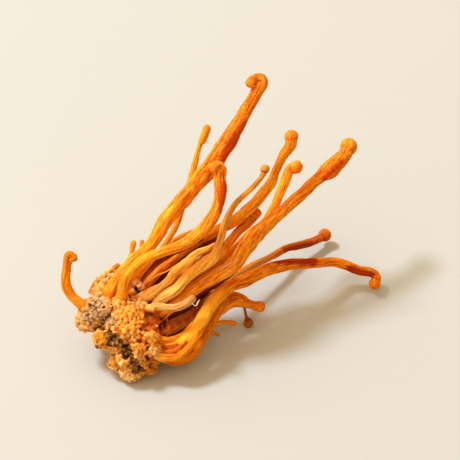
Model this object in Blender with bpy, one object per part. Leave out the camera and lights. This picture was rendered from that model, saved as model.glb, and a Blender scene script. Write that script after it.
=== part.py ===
"""A cordyceps bunch: a crusted clump with slender orange stems, lying on its side at its real size."""

import math
import random

import bmesh
import bpy
from mathutils import Matrix, Vector

# Every length in the tables is in millimetres.
MM = 0.001

# A route point is (across, up, height, radius): across and up as someone sees them who
# looks down on the bunch at VIEW_TILT, height above the table, and the stem's radius there.
VIEW_TILT = math.radians(45)

# The middle of the patch that the clump rests on, which is the origin.
REST_ACROSS = 1.7
REST_AWAY = 7.0

GAP = 0.3  # left between a root and what it grows from
CLEARANCE_EXTRA = 0.12  # on top of the gap, because facets cut corners
STEM_STEP = 2.9  # between two rings of a stem
HEAD_STEP = 1.1  # between two rings near the tip
HEAD_LENGTH = 5.0
DOME_ANGLES = (35, 65)  # rings of the rounded tip, in degrees
FINE_SAMPLES = 12  # samples between two route points

# The clump is a heap of lumps, given as a route point is, with granules on them.
LUMPS = (
    (0.0, 12.3, 9.5, 6.7),
    (-8.2, 17.2, 13.0, 3.9),
    (-10.2, 15.0, 12.0, 2.7),
    (-6.0, 18.5, 14.5, 3.6),
    (-6.9, 21.6, 15.6, 2.1),
    (-6.2, 10.5, 9.5, 2.5),
    (-3.8, 10.5, 9.0, 3.0),
    (-2.7, 4.6, 4.0, 1.9),
    (0.8, 2.8, 2.7, 3.1),
    (1.5, 5.6, 4.8, 4.6),
    (4.8, 4.6, 4.2, 2.9),
    (5.4, 11.2, 11.3, 2.6),
    (2.2, 7.8, 9.3, 2.5),
    (-0.5, 5.2, 6.4, 2.2),
    (6.2, 7.8, 8.3, 2.2),
    (-0.2, 15.6, 13.0, 4.5),
    (2.5, 17.4, 13.8, 3.4),
    (5.2, 14.2, 10.6, 4.1),
    (1.2, 21.0, 14.8, 2.2),
    (2.3, 23.0, 15.8, 1.7),
    (-3.0, 15.6, 8.0, 5.6),
    (2.0, 11.7, 4.5, 5.1),
    (-7.0, 15.8, 9.6, 4.2),
    (1.6, 8.2, 4.4, 5.2),
)
GRANULES = 170
GRANULE_SMALLEST = 0.75
GRANULE_LARGEST = 1.35
GRANULE_SEED = 5
GRANULE_SEAT = 0.99  # how far out a granule's middle sits, in radii of its lump
GRANULE_BURIED = 0.94  # nearer than this to a lump's middle, a granule would not show
LUMP_ROUNDS = 3  # subdivisions of the sphere that a lump starts from
CLUMP_VOXEL = 0.6
CLUMP_TRIANGLES = 3400

ORANGE = (0.80, 0.27, 0.035)
RED_ORANGE = (0.70, 0.17, 0.02)
PALE_ORANGE = (0.86, 0.47, 0.13)
CREAM = (0.87, 0.62, 0.30)
BROWN_ORANGE = (0.42, 0.13, 0.03)
CRUST = (0.50, 0.25, 0.08)
STEM_ROUGHNESS = 0.6
CRUST_ROUGHNESS = 0.85
SHARP_ANGLE = math.radians(60)

# Name: (colour, sides of a ring, what its root is cut by, route from root to tip).
STEMS = {
    "tall_stem": (ORANGE, 9, "clump", (
        (-6.0, 18.5, 14.5, 1.3), (-5.0, 21.3, 17.0, 1.35), (-3.8, 23.3, 18.3, 1.4),
        (-2.0, 26.3, 20.3, 1.4), (0.9, 29.6, 22.8, 1.4), (5.8, 34.0, 26.5, 1.6),
        (10.0, 40.5, 31.5, 2.0), (15.5, 47.0, 36.5, 2.15), (20.5, 53.0, 41.5, 2.2),
        (24.3, 58.5, 46.0, 2.3), (27.0, 63.0, 49.7, 2.0), (28.5, 65.5, 51.8, 1.7),
        (31.3, 70.3, 55.5, 1.6), (33.2, 74.0, 58.0, 1.75), (33.0, 75.5, 59.0, 1.6),
        (31.6, 75.4, 59.2, 1.3), (30.7, 74.4, 58.9, 1.1),
    )),
    "thin_back_stem": (ORANGE, 6, "clump", (
        (-0.8, 18.0, 10.6, 0.9), (-0.5, 19.5, 11.5, 0.9), (0.5, 22.5, 13.5, 0.9),
        (3.0, 26.5, 16.0, 0.9), (5.5, 29.5, 18.5, 0.85), (8.8, 33.3, 22.0, 0.8),
        (12.0, 38.5, 26.5, 0.8), (14.5, 46.3, 32.0, 0.8), (16.5, 53.0, 36.5, 0.85),
        (17.3, 56.5, 39.0, 0.75), (18.0, 58.8, 40.5, 0.65), (18.7, 60.0, 41.4, 1.05),
        (19.7, 62.8, 43.4, 1.0),
    )),
    "crooked_stem": (ORANGE, 8, "clump", (
        (-2.0, 19.3, 16.6, 1.1), (-1.4, 21.3, 18.5, 1.1), (-1.0, 24.0, 20.8, 1.15),
        (0.7, 27.0, 23.8, 1.2), (3.8, 29.8, 26.3, 1.25), (8.3, 31.8, 28.5, 1.3),
        (11.8, 33.0, 30.0, 1.4), (15.3, 34.8, 31.5, 1.55), (18.5, 37.3, 33.3, 1.6),
        (21.2, 40.8, 35.8, 1.65), (22.7, 44.4, 38.2, 1.55), (23.2, 47.3, 40.4, 1.55),
        (22.9, 50.2, 42.6, 1.5), (23.2, 52.6, 44.0, 1.5), (22.4, 54.1, 45.1, 1.2),
        (20.9, 52.9, 45.7, 0.95),
    )),
    "pale_wavy_stem": (PALE_ORANGE, 8, "clump", (
        (4.4, 16.6, 11.6, 1.2), (6.8, 18.8, 14.4, 1.25), (9.1, 20.8, 17.2, 1.25),
        (12.0, 22.8, 19.5, 1.35), (14.9, 25.8, 22.0, 1.4), (18.8, 28.9, 24.8, 1.6),
        (21.3, 30.7, 26.3, 1.5), (22.5, 33.0, 27.8, 1.15), (23.5, 36.3, 29.8, 1.0),
        (24.4, 39.6, 31.8, 0.95), (27.0, 44.2, 34.8, 0.75), (31.4, 48.4, 37.6, 0.75),
        (33.5, 50.9, 39.2, 0.7), (34.2, 52.7, 40.2, 1.1),
    )),
    "middle_club_stem": (ORANGE, 8, "clump", (
        (1.2, 17.5, 11.2, 1.1), (2.0, 19.3, 12.5, 1.1), (5.0, 23.8, 15.0, 1.1),
        (8.0, 27.5, 17.0, 1.2), (11.8, 30.5, 19.0, 1.2), (18.0, 35.0, 22.5, 1.3),
        (23.0, 37.8, 25.0, 1.3), (27.0, 40.1, 27.5, 1.5), (31.8, 44.4, 30.5, 1.5),
        (35.6, 49.1, 33.5, 1.35), (37.0, 52.3, 35.8, 1.1), (38.7, 56.0, 38.5, 1.35),
        (40.6, 58.6, 40.3, 1.5), (40.9, 60.8, 41.4, 1.6),
    )),
    "knobbed_stem": (ORANGE, 8, "clump", (
        (4.4, 14.6, 7.0, 1.0), (6.8, 16.2, 8.2, 1.0), (11.0, 19.3, 10.3, 1.0),
        (15.5, 22.4, 12.4, 1.0), (20.0, 25.7, 14.6, 1.0), (23.5, 28.5, 16.6, 1.0),
        (27.0, 33.0, 19.0, 1.0), (30.5, 36.8, 21.0, 1.0), (33.9, 39.2, 22.8, 1.1),
        (36.5, 43.4, 25.5, 1.15), (38.7, 48.2, 27.5, 1.3), (39.6, 50.9, 28.6, 1.4),
        (40.6, 53.0, 29.6, 1.25), (42.0, 53.4, 30.0, 1.5),
    )),
    "right_club_stem": (ORANGE, 9, "clump", (
        (5.4, 14.4, 10.8, 1.3), (7.5, 15.8, 12.2, 1.3), (10.8, 18.2, 14.1, 1.35),
        (15.5, 22.0, 17.2, 1.5), (21.0, 25.5, 20.0, 1.75), (24.3, 27.5, 21.5, 1.9),
        (27.5, 30.1, 22.8, 2.0), (31.8, 36.1, 24.8, 2.0), (34.2, 38.3, 25.6, 1.75),
        (38.8, 42.3, 27.0, 1.6), (43.8, 46.8, 28.7, 1.5), (46.2, 49.3, 29.6, 1.45),
        (48.1, 50.7, 30.3, 1.6), (50.0, 52.2, 31.0, 2.2), (51.8, 53.8, 31.6, 2.1),
        (54.1, 56.3, 32.4, 1.8), (55.4, 58.6, 33.0, 2.0),
    )),
    "low_right_stem": (RED_ORANGE, 8, "clump", (
        (5.0, 10.6, 7.4, 1.5), (7.5, 11.6, 8.1, 1.6), (9.0, 12.8, 8.9, 1.7),
        (12.0, 14.1, 9.5, 1.65), (15.8, 16.0, 10.0, 1.6), (18.9, 18.4, 10.2, 1.45),
        (21.8, 22.0, 10.3, 1.3), (25.5, 25.0, 9.9, 1.1), (30.4, 28.1, 8.8, 0.95),
        (35.0, 30.3, 7.4, 0.9), (39.6, 32.8, 5.9, 1.05), (42.3, 33.5, 5.0, 1.1),
        (45.5, 34.3, 4.0, 1.1), (48.3, 35.4, 3.3, 1.3), (49.7, 36.2, 3.1, 1.5),
    )),
    "long_low_stem": (RED_ORANGE, 9, "clump", (
        (6.0, 7.9, 6.4, 2.1), (9.3, 7.5, 7.0, 2.2), (12.0, 7.6, 7.8, 2.2),
        (14.1, 9.4, 9.0, 2.0), (16.4, 11.8, 10.5, 1.75), (18.3, 14.8, 12.0, 1.75),
        (20.0, 17.8, 13.4, 1.75), (22.5, 21.0, 14.5, 1.75), (25.4, 23.4, 15.1, 1.75),
        (28.8, 24.8, 15.1, 1.75), (32.3, 26.5, 14.8, 1.6), (35.8, 27.8, 14.2, 1.55),
        (39.0, 28.6, 13.4, 1.5), (42.3, 29.0, 12.2, 1.4), (45.8, 29.2, 10.6, 1.3),
        (49.4, 29.4, 9.0, 1.2), (52.0, 29.4, 7.7, 1.25), (55.3, 28.4, 6.3, 1.3),
        (58.0, 27.3, 5.3, 1.25), (61.0, 26.8, 4.5, 1.25), (62.4, 25.8, 3.8, 1.15),
        (62.0, 23.9, 3.1, 1.5),
    )),
    "under_stem": (BROWN_ORANGE, 8, "clump", (
        (5.2, 7.0, 3.9, 1.2), (8.0, 6.2, 3.5, 1.25), (12.0, 5.1, 3.1, 1.3),
        (15.5, 6.2, 3.7, 1.3), (18.0, 9.3, 4.9, 1.3), (20.0, 13.0, 6.1, 1.3),
        (22.0, 16.3, 7.2, 1.3), (24.0, 19.0, 8.0, 1.35), (26.0, 20.6, 8.3, 1.4),
        (28.0, 20.3, 8.1, 1.4), (29.9, 19.2, 7.8, 1.2), (31.5, 18.6, 7.4, 1.15),
        (33.0, 18.3, 7.1, 1.4),
    )),
    "low_back_stem": (BROWN_ORANGE, 7, "clump", (
        (-0.6, 16.4, 8.0, 1.0), (-0.1, 18.9, 8.8, 1.05), (2.0, 23.6, 11.2, 1.1),
        (4.4, 27.8, 13.0, 1.1), (7.6, 31.2, 13.2, 1.15), (11.3, 34.3, 11.2, 1.15),
        (14.5, 35.9, 7.8, 1.2), (17.8, 37.1, 4.2, 1.2), (20.4, 37.6, 2.0, 1.25),
        (22.2, 37.4, 1.05, 1.3),
    )),
    "pale_inner_stem": (PALE_ORANGE, 8, "clump", (
        (1.4, 18.8, 14.6, 1.3), (3.2, 20.2, 15.8, 1.3), (5.8, 21.8, 17.2, 1.35),
        (8.2, 23.3, 18.3, 1.05), (10.3, 25.0, 20.0, 1.1), (11.6, 26.8, 21.5, 1.2),
        (13.5, 28.3, 22.8, 1.25), (15.3, 30.0, 24.0, 1.2), (17.5, 31.8, 25.2, 1.0),
        (19.7, 32.7, 26.2, 0.8), (21.0, 33.6, 26.9, 0.7),
    )),
    "short_club_stem": (RED_ORANGE, 7, "clump", (
        (4.2, 16.4, 10.2, 0.95), (6.0, 18.0, 11.4, 0.95), (10.5, 21.0, 13.0, 0.95),
        (15.5, 24.6, 15.2, 1.0), (20.5, 28.4, 18.0, 1.1), (23.8, 31.0, 20.0, 1.15),
        (24.8, 33.7, 21.6, 1.15), (27.9, 37.5, 24.2, 1.15), (30.0, 39.2, 25.4, 1.15),
        (32.2, 41.8, 27.0, 1.15),
    )),
    "cream_stub": (CREAM, 7, "clump", (
        (3.2, 16.8, 15.0, 0.9), (5.2, 18.0, 16.5, 0.9), (7.3, 18.4, 17.2, 0.9),
        (10.0, 18.2, 17.6, 0.95), (12.0, 18.2, 17.9, 0.95), (13.9, 18.9, 18.4, 1.05),
        (15.6, 19.9, 19.1, 1.1), (16.2, 20.4, 19.5, 1.0),
    )),
    "left_curled_stem": (RED_ORANGE, 8, "clump", (
        (-9.2, 17.4, 13.8, 1.1), (-11.3, 18.9, 15.0, 1.1), (-13.5, 20.7, 16.5, 1.15),
        (-15.1, 23.0, 18.4, 1.25), (-15.4, 25.3, 20.3, 1.2), (-15.1, 27.7, 22.2, 1.15),
        (-14.8, 29.6, 23.7, 1.15), (-14.4, 31.0, 24.8, 1.3), (-13.3, 30.9, 25.2, 0.8),
    )),
    "left_sprout": (BROWN_ORANGE, 6, "clump", (
        (-7.2, 18.8, 12.6, 0.8), (-8.2, 21.5, 14.4, 0.8), (-8.2, 23.6, 15.7, 0.7),
        (-6.8, 25.2, 16.6, 0.65), (-5.1, 26.6, 17.3, 0.6), (-3.7, 27.8, 17.8, 0.6),
        (-2.6, 28.5, 18.0, 0.65),
    )),
    "club_sprout": (ORANGE, 6, "clump", (
        (-4.3, 18.8, 12.0, 0.6), (-3.9, 21.0, 13.6, 0.6), (-2.6, 24.2, 16.0, 0.6),
        (-1.2, 26.6, 17.8, 0.6), (0.3, 29.2, 19.9, 0.6), (0.9, 31.8, 22.0, 0.6),
        (1.4, 34.2, 23.8, 0.75),
    )),
    "thin_sprout": (ORANGE, 6, "clump", (
        (-2.8, 18.6, 11.0, 0.5), (-2.2, 20.8, 12.4, 0.5), (-0.6, 24.2, 14.6, 0.5),
        (1.4, 27.4, 16.8, 0.5), (2.8, 30.5, 18.7, 0.5), (3.3, 33.0, 20.3, 0.5),
        (3.5, 34.6, 21.4, 0.55),
    )),
    "hanging_knob": (BROWN_ORANGE, 6, "under_stem", (
        (28.8, 20.0, 8.0, 0.45), (29.1, 18.1, 5.9, 0.45), (29.4, 16.4, 3.6, 0.45),
        (29.8, 15.1, 1.9, 0.6), (30.1, 14.2, 0.95, 1.1),
    )),
    "side_twig": (BROWN_ORANGE, 6, "under_stem", (
        (20.8, 14.4, 6.4, 0.5), (21.9, 14.0, 5.0, 0.5), (23.2, 14.3, 4.2, 0.5),
        (25.1, 14.4, 3.4, 0.5), (26.5, 14.1, 2.7, 0.6),
    )),
}


def to_world(across, up, height):
    """The place, in metres, of a point that the tables give in the observer's directions."""
    away = (up - height * math.cos(VIEW_TILT)) / math.sin(VIEW_TILT)
    return Vector((across - REST_ACROSS, away - REST_AWAY, height)) * MM


def clear_scene():
    for thing in list(bpy.data.objects):
        bpy.data.objects.remove(thing, do_unlink=True)


def new_object(name, mesh):
    thing = bpy.data.objects.new(name, mesh)
    bpy.context.scene.collection.objects.link(thing)
    return thing


def paint(thing, colour, roughness):
    material = bpy.data.materials.new(thing.name)
    material.use_nodes = True
    shader = material.node_tree.nodes["Principled BSDF"]
    shader.inputs["Base Color"].default_value = (*colour, 1.0)
    shader.inputs["Roughness"].default_value = roughness
    shader.inputs["Metallic"].default_value = 0.0
    thing.data.materials.clear()
    thing.data.materials.append(material)


def catmull_rom(points):
    """A smooth curve of (place, radius) samples through the route's points."""
    spots = [(to_world(*point[:3]), point[3] * MM) for point in points]
    first = (2 * spots[0][0] - spots[1][0], spots[0][1])
    last = (2 * spots[-1][0] - spots[-2][0], spots[-1][1])
    padded = [first, *spots, last]
    samples = []
    for i in range(1, len(padded) - 2):
        for step in range(FINE_SAMPLES):
            t = step / FINE_SAMPLES
            weights = (
                -0.5 * t + t**2 - 0.5 * t**3,
                1.0 - 2.5 * t**2 + 1.5 * t**3,
                0.5 * t + 2.0 * t**2 - 1.5 * t**3,
                -0.5 * t**2 + 0.5 * t**3,
            )
            near = padded[i - 1 : i + 3]
            place = sum((w * p for w, (p, _) in zip(weights, near)), Vector())
            radius = sum(w * r for w, (_, r) in zip(weights, near))
            samples.append((place, radius))
    samples.append(spots[-1])
    return samples


def rings_along(samples):
    """The samples thinned to ring spacing: wide along the stem and close near the tip."""
    total = sum((b[0] - a[0]).length for a, b in zip(samples, samples[1:]))
    rings = [samples[0]]
    gone = 0.0
    since = 0.0
    for a, b in zip(samples, samples[1:]):
        length = (b[0] - a[0]).length
        gone += length
        since += length
        near_tip = total - gone < HEAD_LENGTH * MM
        step = (HEAD_STEP if near_tip else STEM_STEP) * MM
        if since >= step:
            rings.append(b)
            since = 0.0
    if since > 0:
        rings[-1] = samples[-1]
    return rings


def tube_mesh(name, route, sides, grow=0.0):
    """A closed tube with a flat root and a rounded tip. grow widens all of it."""
    rings = [(place, radius + grow) for place, radius in rings_along(catmull_rom(route))]
    tip, tip_radius = rings[-1]
    heading = (tip - rings[-2][0]).normalized()
    for angle in DOME_ANGLES:
        turn = math.radians(angle)
        rings.append((tip + heading * tip_radius * math.sin(turn), tip_radius * math.cos(turn)))
    pole = tip + heading * tip_radius

    bm = bmesh.new()
    side = heading.orthogonal().normalized()
    loops = []
    for i, (place, radius) in enumerate(rings):
        before = rings[max(i - 1, 0)][0]
        after = rings[min(i + 1, len(rings) - 1)][0]
        along = (after - before).normalized()
        side = (side - along * side.dot(along)).normalized()
        loop = []
        for k in range(sides):
            spoke = Matrix.Rotation(2 * math.pi * k / sides, 3, along) @ side
            loop.append(bm.verts.new(place + spoke * radius))
        loops.append(loop)
    for low, high in zip(loops, loops[1:]):
        for k in range(sides):
            nxt = (k + 1) % sides
            bm.faces.new((low[k], low[nxt], high[nxt], high[k]))
    root = bm.verts.new(rings[0][0])
    crown = bm.verts.new(pole)
    for k in range(sides):
        nxt = (k + 1) % sides
        bm.faces.new((root, loops[0][nxt], loops[0][k]))
        bm.faces.new((crown, loops[-1][k], loops[-1][nxt]))
    for vert in bm.verts:
        vert.co.z = max(vert.co.z, -grow)
    bmesh.ops.triangulate(bm, faces=bm.faces)
    mesh = bpy.data.meshes.new(name)
    bm.to_mesh(mesh)
    bm.free()
    return mesh


def keep_largest_body(mesh):
    """Deletes every loose body of the mesh but the one with the most points."""
    bm = bmesh.new()
    bm.from_mesh(mesh)
    left = set(bm.verts)
    bodies = []
    while left:
        seed = left.pop()
        body = {seed}
        todo = [seed]
        while todo:
            for edge in todo.pop().link_edges:
                for vert in edge.verts:
                    if vert in left:
                        left.discard(vert)
                        body.add(vert)
                        todo.append(vert)
        bodies.append(body)
    bodies.sort(key=len)
    for body in bodies[:-1]:
        bmesh.ops.delete(bm, geom=list(body), context="VERTS")
    bm.to_mesh(mesh)
    bm.free()


def apply_modifiers(thing):
    """Turns what the modifiers give into the object's own mesh."""
    graph = bpy.context.evaluated_depsgraph_get()
    mesh = bpy.data.meshes.new_from_object(thing.evaluated_get(graph))
    thing.modifiers.clear()
    thing.data = mesh


def cut_root(stem, cutter):
    boolean = stem.modifiers.new("Root", "BOOLEAN")
    boolean.operation = "DIFFERENCE"
    boolean.solver = "EXACT"
    boolean.object = cutter
    apply_modifiers(stem)
    keep_largest_body(stem.data)


def lumps_and_granules():
    """(place, radius) of each lump, then of each granule, which sits on the outside of a lump."""
    lumps = [(to_world(*lump[:3]), lump[3] * MM) for lump in LUMPS]
    draw = random.Random(GRANULE_SEED)
    areas = [radius**2 for _, radius in lumps]
    found = []
    while len(found) < GRANULES:
        middle, radius = draw.choices(lumps, areas)[0]
        turn = draw.uniform(0, 2 * math.pi)
        rise = draw.uniform(-1, 1)
        flat = math.sqrt(1 - rise**2)
        outward = Vector((flat * math.cos(turn), flat * math.sin(turn), rise))
        spot = middle + outward * radius * GRANULE_SEAT
        size = draw.uniform(GRANULE_SMALLEST, GRANULE_LARGEST) * MM
        buried = any((spot - m).length < GRANULE_BURIED * r for m, r in lumps)
        if not buried and spot.z > size:
            found.append((spot, size))
    return lumps + found


def clump_body(name, grow):
    """The lumps and granules melted into one skin, flat where it rests. grow widens all of it."""
    bm = bmesh.new()
    for place, radius in lumps_and_granules():
        spot = Matrix.Translation(place)
        size = radius + grow * MM
        bmesh.ops.create_icosphere(bm, subdivisions=LUMP_ROUNDS, radius=size, matrix=spot)
    mesh = bpy.data.meshes.new(name)
    bm.to_mesh(mesh)
    bm.free()
    thing = new_object(name, mesh)
    melt = thing.modifiers.new("Melt", "REMESH")
    melt.mode = "VOXEL"
    melt.voxel_size = CLUMP_VOXEL * MM
    apply_modifiers(thing)
    thin = thing.modifiers.new("Thin", "DECIMATE")
    thin.ratio = CLUMP_TRIANGLES / (2 * len(thing.data.polygons))
    apply_modifiers(thing)
    for vert in thing.data.vertices:
        vert.co.z = max(vert.co.z, -grow * MM)
    keep_largest_body(thing.data)
    return thing


def main():
    clear_scene()
    clump = clump_body("clump", 0.0)
    paint(clump, CRUST, CRUST_ROUGHNESS)

    cutters = {"clump": clump_body("clump_clearance", GAP + CLEARANCE_EXTRA)}
    _, sides, _, route = STEMS["under_stem"]
    sleeve = tube_mesh("under_stem_clearance", route, sides, (GAP + CLEARANCE_EXTRA) * MM)
    cutters["under_stem"] = new_object("under_stem_clearance", sleeve)
    for cutter in cutters.values():
        cutter.hide_render = True
        cutter.display_type = "WIRE"

    for name, (colour, sides, grows_from, route) in STEMS.items():
        stem = new_object(name, tube_mesh(name, route, sides))
        cut_root(stem, cutters[grows_from])
        stem.data.shade_smooth()
        stem.data.set_sharp_from_angle(angle=SHARP_ANGLE)
        paint(stem, colour, STEM_ROUGHNESS)


if __name__ == "__main__":
    main()
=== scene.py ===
# %% [markdown]
# # A bunch of dried cordyceps
# The real thing is a dried fungus. Slender orange stems grow together from a crusted clump of
# mycelium, and each ends in a small knob or a rough club. It lies on its side on a pale table.
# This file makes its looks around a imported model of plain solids: every stem and the clump get
# their real wrinkles, granules and colours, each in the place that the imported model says.

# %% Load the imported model
import math

import bmesh
import bpy
import numpy as np
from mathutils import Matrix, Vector, noise
from mathutils.bvhtree import BVHTree


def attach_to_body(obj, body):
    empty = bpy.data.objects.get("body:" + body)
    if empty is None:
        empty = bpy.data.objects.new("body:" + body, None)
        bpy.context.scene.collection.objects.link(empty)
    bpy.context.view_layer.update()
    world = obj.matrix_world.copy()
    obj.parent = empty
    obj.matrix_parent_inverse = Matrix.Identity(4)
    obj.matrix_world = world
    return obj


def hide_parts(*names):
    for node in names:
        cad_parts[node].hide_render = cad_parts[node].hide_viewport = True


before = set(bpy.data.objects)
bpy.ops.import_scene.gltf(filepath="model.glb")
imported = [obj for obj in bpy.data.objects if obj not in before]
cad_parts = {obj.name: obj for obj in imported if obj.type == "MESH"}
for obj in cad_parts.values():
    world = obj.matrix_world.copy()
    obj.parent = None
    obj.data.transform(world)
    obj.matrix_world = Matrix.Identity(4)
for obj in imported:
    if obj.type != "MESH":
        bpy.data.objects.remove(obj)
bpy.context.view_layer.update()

MM = 0.001

# %% [markdown]
# ## Where things are
# Every place is written as a person sees it who looks down on the bunch at 45 degrees: across,
# up, and the height above the table, in millimetres. One pixel of the photograph is a quarter of
# a millimetre, so a place that was read from the photograph can be checked against it. The camera
# stands far off with a long lens, because the photograph shows hardly any perspective.

# %% Directions and the camera
VIEW_TILT = math.radians(45)
REST_ACROSS = 1.7  # the middle of the patch that the clump rests on
REST_AWAY = 7.0
PHOTO_SIDE = 460
MM_PER_PIXEL = 0.25
LENS = 500.0
SENSOR = 36.0
NEAR = 0.1  # the camera sees from here, in metres
FAR = 10.0
AIM = (25.5, 37.5, 23.0)  # the photograph's middle, at the bunch's middle height
VIEW_GAMMA = 0.88  # the photograph is a little harder than the eye sees


def to_world(across, up, height):
    """The place, in metres, of a point given in the observer's directions."""
    away = (up - height * math.cos(VIEW_TILT)) / math.sin(VIEW_TILT)
    return Vector((across - REST_ACROSS, away - REST_AWAY, height)) * MM


camera_data = bpy.data.cameras.new("camera")
camera_data.lens = LENS
camera_data.sensor_width = SENSOR
camera_data.clip_start = NEAR
camera_data.clip_end = FAR
camera = bpy.data.objects.new("camera", camera_data)
bpy.context.scene.collection.objects.link(camera)
bpy.context.scene.camera = camera
backward = Vector((0, -math.cos(VIEW_TILT), math.sin(VIEW_TILT)))
camera_distance = PHOTO_SIDE * MM_PER_PIXEL * MM * LENS / SENSOR
camera.location = to_world(*AIM) + backward * camera_distance
camera.rotation_euler = (math.pi / 2 - VIEW_TILT, 0, 0)
bpy.context.scene.view_settings.view_transform = "Standard"
bpy.context.scene.view_settings.gamma = VIEW_GAMMA


def sight(x, y):
    """The line of sight through a pixel of the photograph, as the eye and a direction."""
    half = SENSOR / 2 / LENS
    middle = PHOTO_SIDE / 2
    local = Vector(((x / middle - 1) * half, (1 - y / middle) * half, -1))
    return camera.location.copy(), (camera.rotation_euler.to_matrix() @ local).normalized()


print("camera distance, m:", round(camera_distance, 3))

# %% [markdown]
# ## Colours and nodes
# Colours are written as the eye reads them on a screen, in six hex digits, and one function turns
# them to the linear values that shaders add and multiply. Node trees are long lists of small
# parts, so one helper adds a node, sets it and links it, and hands back one of its outputs.

# %% Colour and node helpers
MATH = "ShaderNodeMath"
VECTOR = "ShaderNodeVectorMath"
XYZ = "ShaderNodeCombineXYZ"
RANGE = "ShaderNodeMapRange"
NOISE = "ShaderNodeTexNoise"
CELLS = "ShaderNodeTexVoronoi"
MIX = "ShaderNodeMix"
ATTRIBUTE = "ShaderNodeAttribute"
READ = "GeometryNodeInputNamedAttribute"
STORE = "GeometryNodeStoreNamedAttribute"
NOISE_MIDDLE = 0.5  # a noise swings about this


def linear(code):
    """The linear colour of six sRGB hex digits."""
    parts = [int(code[i : i + 2], 16) / 255 for i in (0, 2, 4)]
    return (*(c / 12.92 if c <= 0.04045 else ((c + 0.055) / 1.055) ** 2.4 for c in parts), 1.0)


def pick(sockets, key):
    """A node's socket, by its place or its name among those in use."""
    used = [socket for socket in sockets if socket.enabled]
    return used[key] if isinstance(key, int) else next(s for s in used if s.name == key)


def add(tree, kind, feeds, out=0, **settings):
    """Adds a node, gives its sockets their values or links, in order or by name, returns an output."""
    node = tree.nodes.new(kind)
    for name, value in settings.items():
        setattr(node, name, value)
    for key, value in feeds.items() if isinstance(feeds, dict) else enumerate(feeds):
        socket = pick(node.inputs, key)
        if isinstance(value, bpy.types.NodeSocket):
            tree.links.new(value, socket)
        else:
            socket.default_value = value
    return pick(node.outputs, out) if len(node.outputs) else node


print("an orange, linear:", [round(part, 3) for part in linear("E8842A")[:3]])

# %% [markdown]
# ## The table and the light
# The bunch lies on plain uncoated board. Its fibres scatter light evenly, so it shows no shine.
# The shadows tell where the lamp is: they fall to the right and end inside the picture, so it
# stands on the left, a little under 60 degrees up. Their edges are soft, which takes a broad lamp.
# They are pale and warm, which takes a warm sky that gives most of the light, and a cooler lamp.
# The photograph grows darker to the right, so the sky is brighter on the left.

# %% Table, lamp and sky
TABLE_SIDE = 4.0
TABLE_CREAM = "BDB9AD"
TABLE_ROUGHNESS = 0.9
TABLE_SHINE = 0.2
SHADOW_PER_HEIGHT = Vector((0.58, -0.28))  # to the right, and away
LAMP_DISTANCE = 1.3
LAMP_WIDTH = 0.24
LAMP_POWER = 19.4
LAMP_COLOUR = "CCE2FF"
SKY_COLOUR = "FFECCE"
SKY_STRENGTH = 0.86  # at a right angle to the bright side
SKY_CONTRAST = 0.8
SKY_BRIGHT_SIDE = Vector((-0.8, 0.1, 0.6))

half_table = TABLE_SIDE / 2
table_mesh = bpy.data.meshes.new("table")
corners = [(-1, -1), (1, -1), (1, 1), (-1, 1)]
table_mesh.from_pydata([(x * half_table, y * half_table, 0.0) for x, y in corners], [], [(0, 1, 2, 3)])
table = bpy.data.objects.new("table", table_mesh)
bpy.context.scene.collection.objects.link(table)

board = bpy.data.materials.new("matt cream board")
board.use_nodes = True
board_shader = board.node_tree.nodes["Principled BSDF"]
board_shader.inputs["Base Color"].default_value = linear(TABLE_CREAM)
board_shader.inputs["Roughness"].default_value = TABLE_ROUGHNESS
board_shader.inputs["Specular IOR Level"].default_value = TABLE_SHINE
table_mesh.materials.append(board)

lamp_data = bpy.data.lights.new("lamp", "AREA")
lamp_data.shape = "DISK"
lamp_data.size = LAMP_WIDTH
lamp_data.energy = LAMP_POWER
lamp_data.color = linear(LAMP_COLOUR)[:3]
lamp = bpy.data.objects.new("lamp", lamp_data)
bpy.context.scene.collection.objects.link(lamp)
to_lamp = Vector((-SHADOW_PER_HEIGHT.x, -SHADOW_PER_HEIGHT.y, 1.0)).normalized()
lamp.location = to_world(*AIM) + to_lamp * LAMP_DISTANCE
lamp.rotation_euler = (-to_lamp).to_track_quat("-Z", "Y").to_euler()

sky = bpy.data.worlds.new("sky")
sky.use_nodes = True
backdrop = sky.node_tree.nodes["Background"]
backdrop.inputs["Color"].default_value = linear(SKY_COLOUR)
direction = add(sky.node_tree, "ShaderNodeTexCoord", {}, out="Generated")
side = add(sky.node_tree, VECTOR, [direction, SKY_BRIGHT_SIDE], out="Value", operation="DOT_PRODUCT")
sky_light = add(sky.node_tree, MATH, [side, SKY_CONTRAST, SKY_STRENGTH], operation="MULTIPLY_ADD")
sky.node_tree.links.new(sky_light, backdrop.inputs["Strength"])
bpy.context.scene.world = sky
print("lamp height above the horizon, degrees:", round(math.degrees(math.asin(to_lamp.z)), 1))
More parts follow.
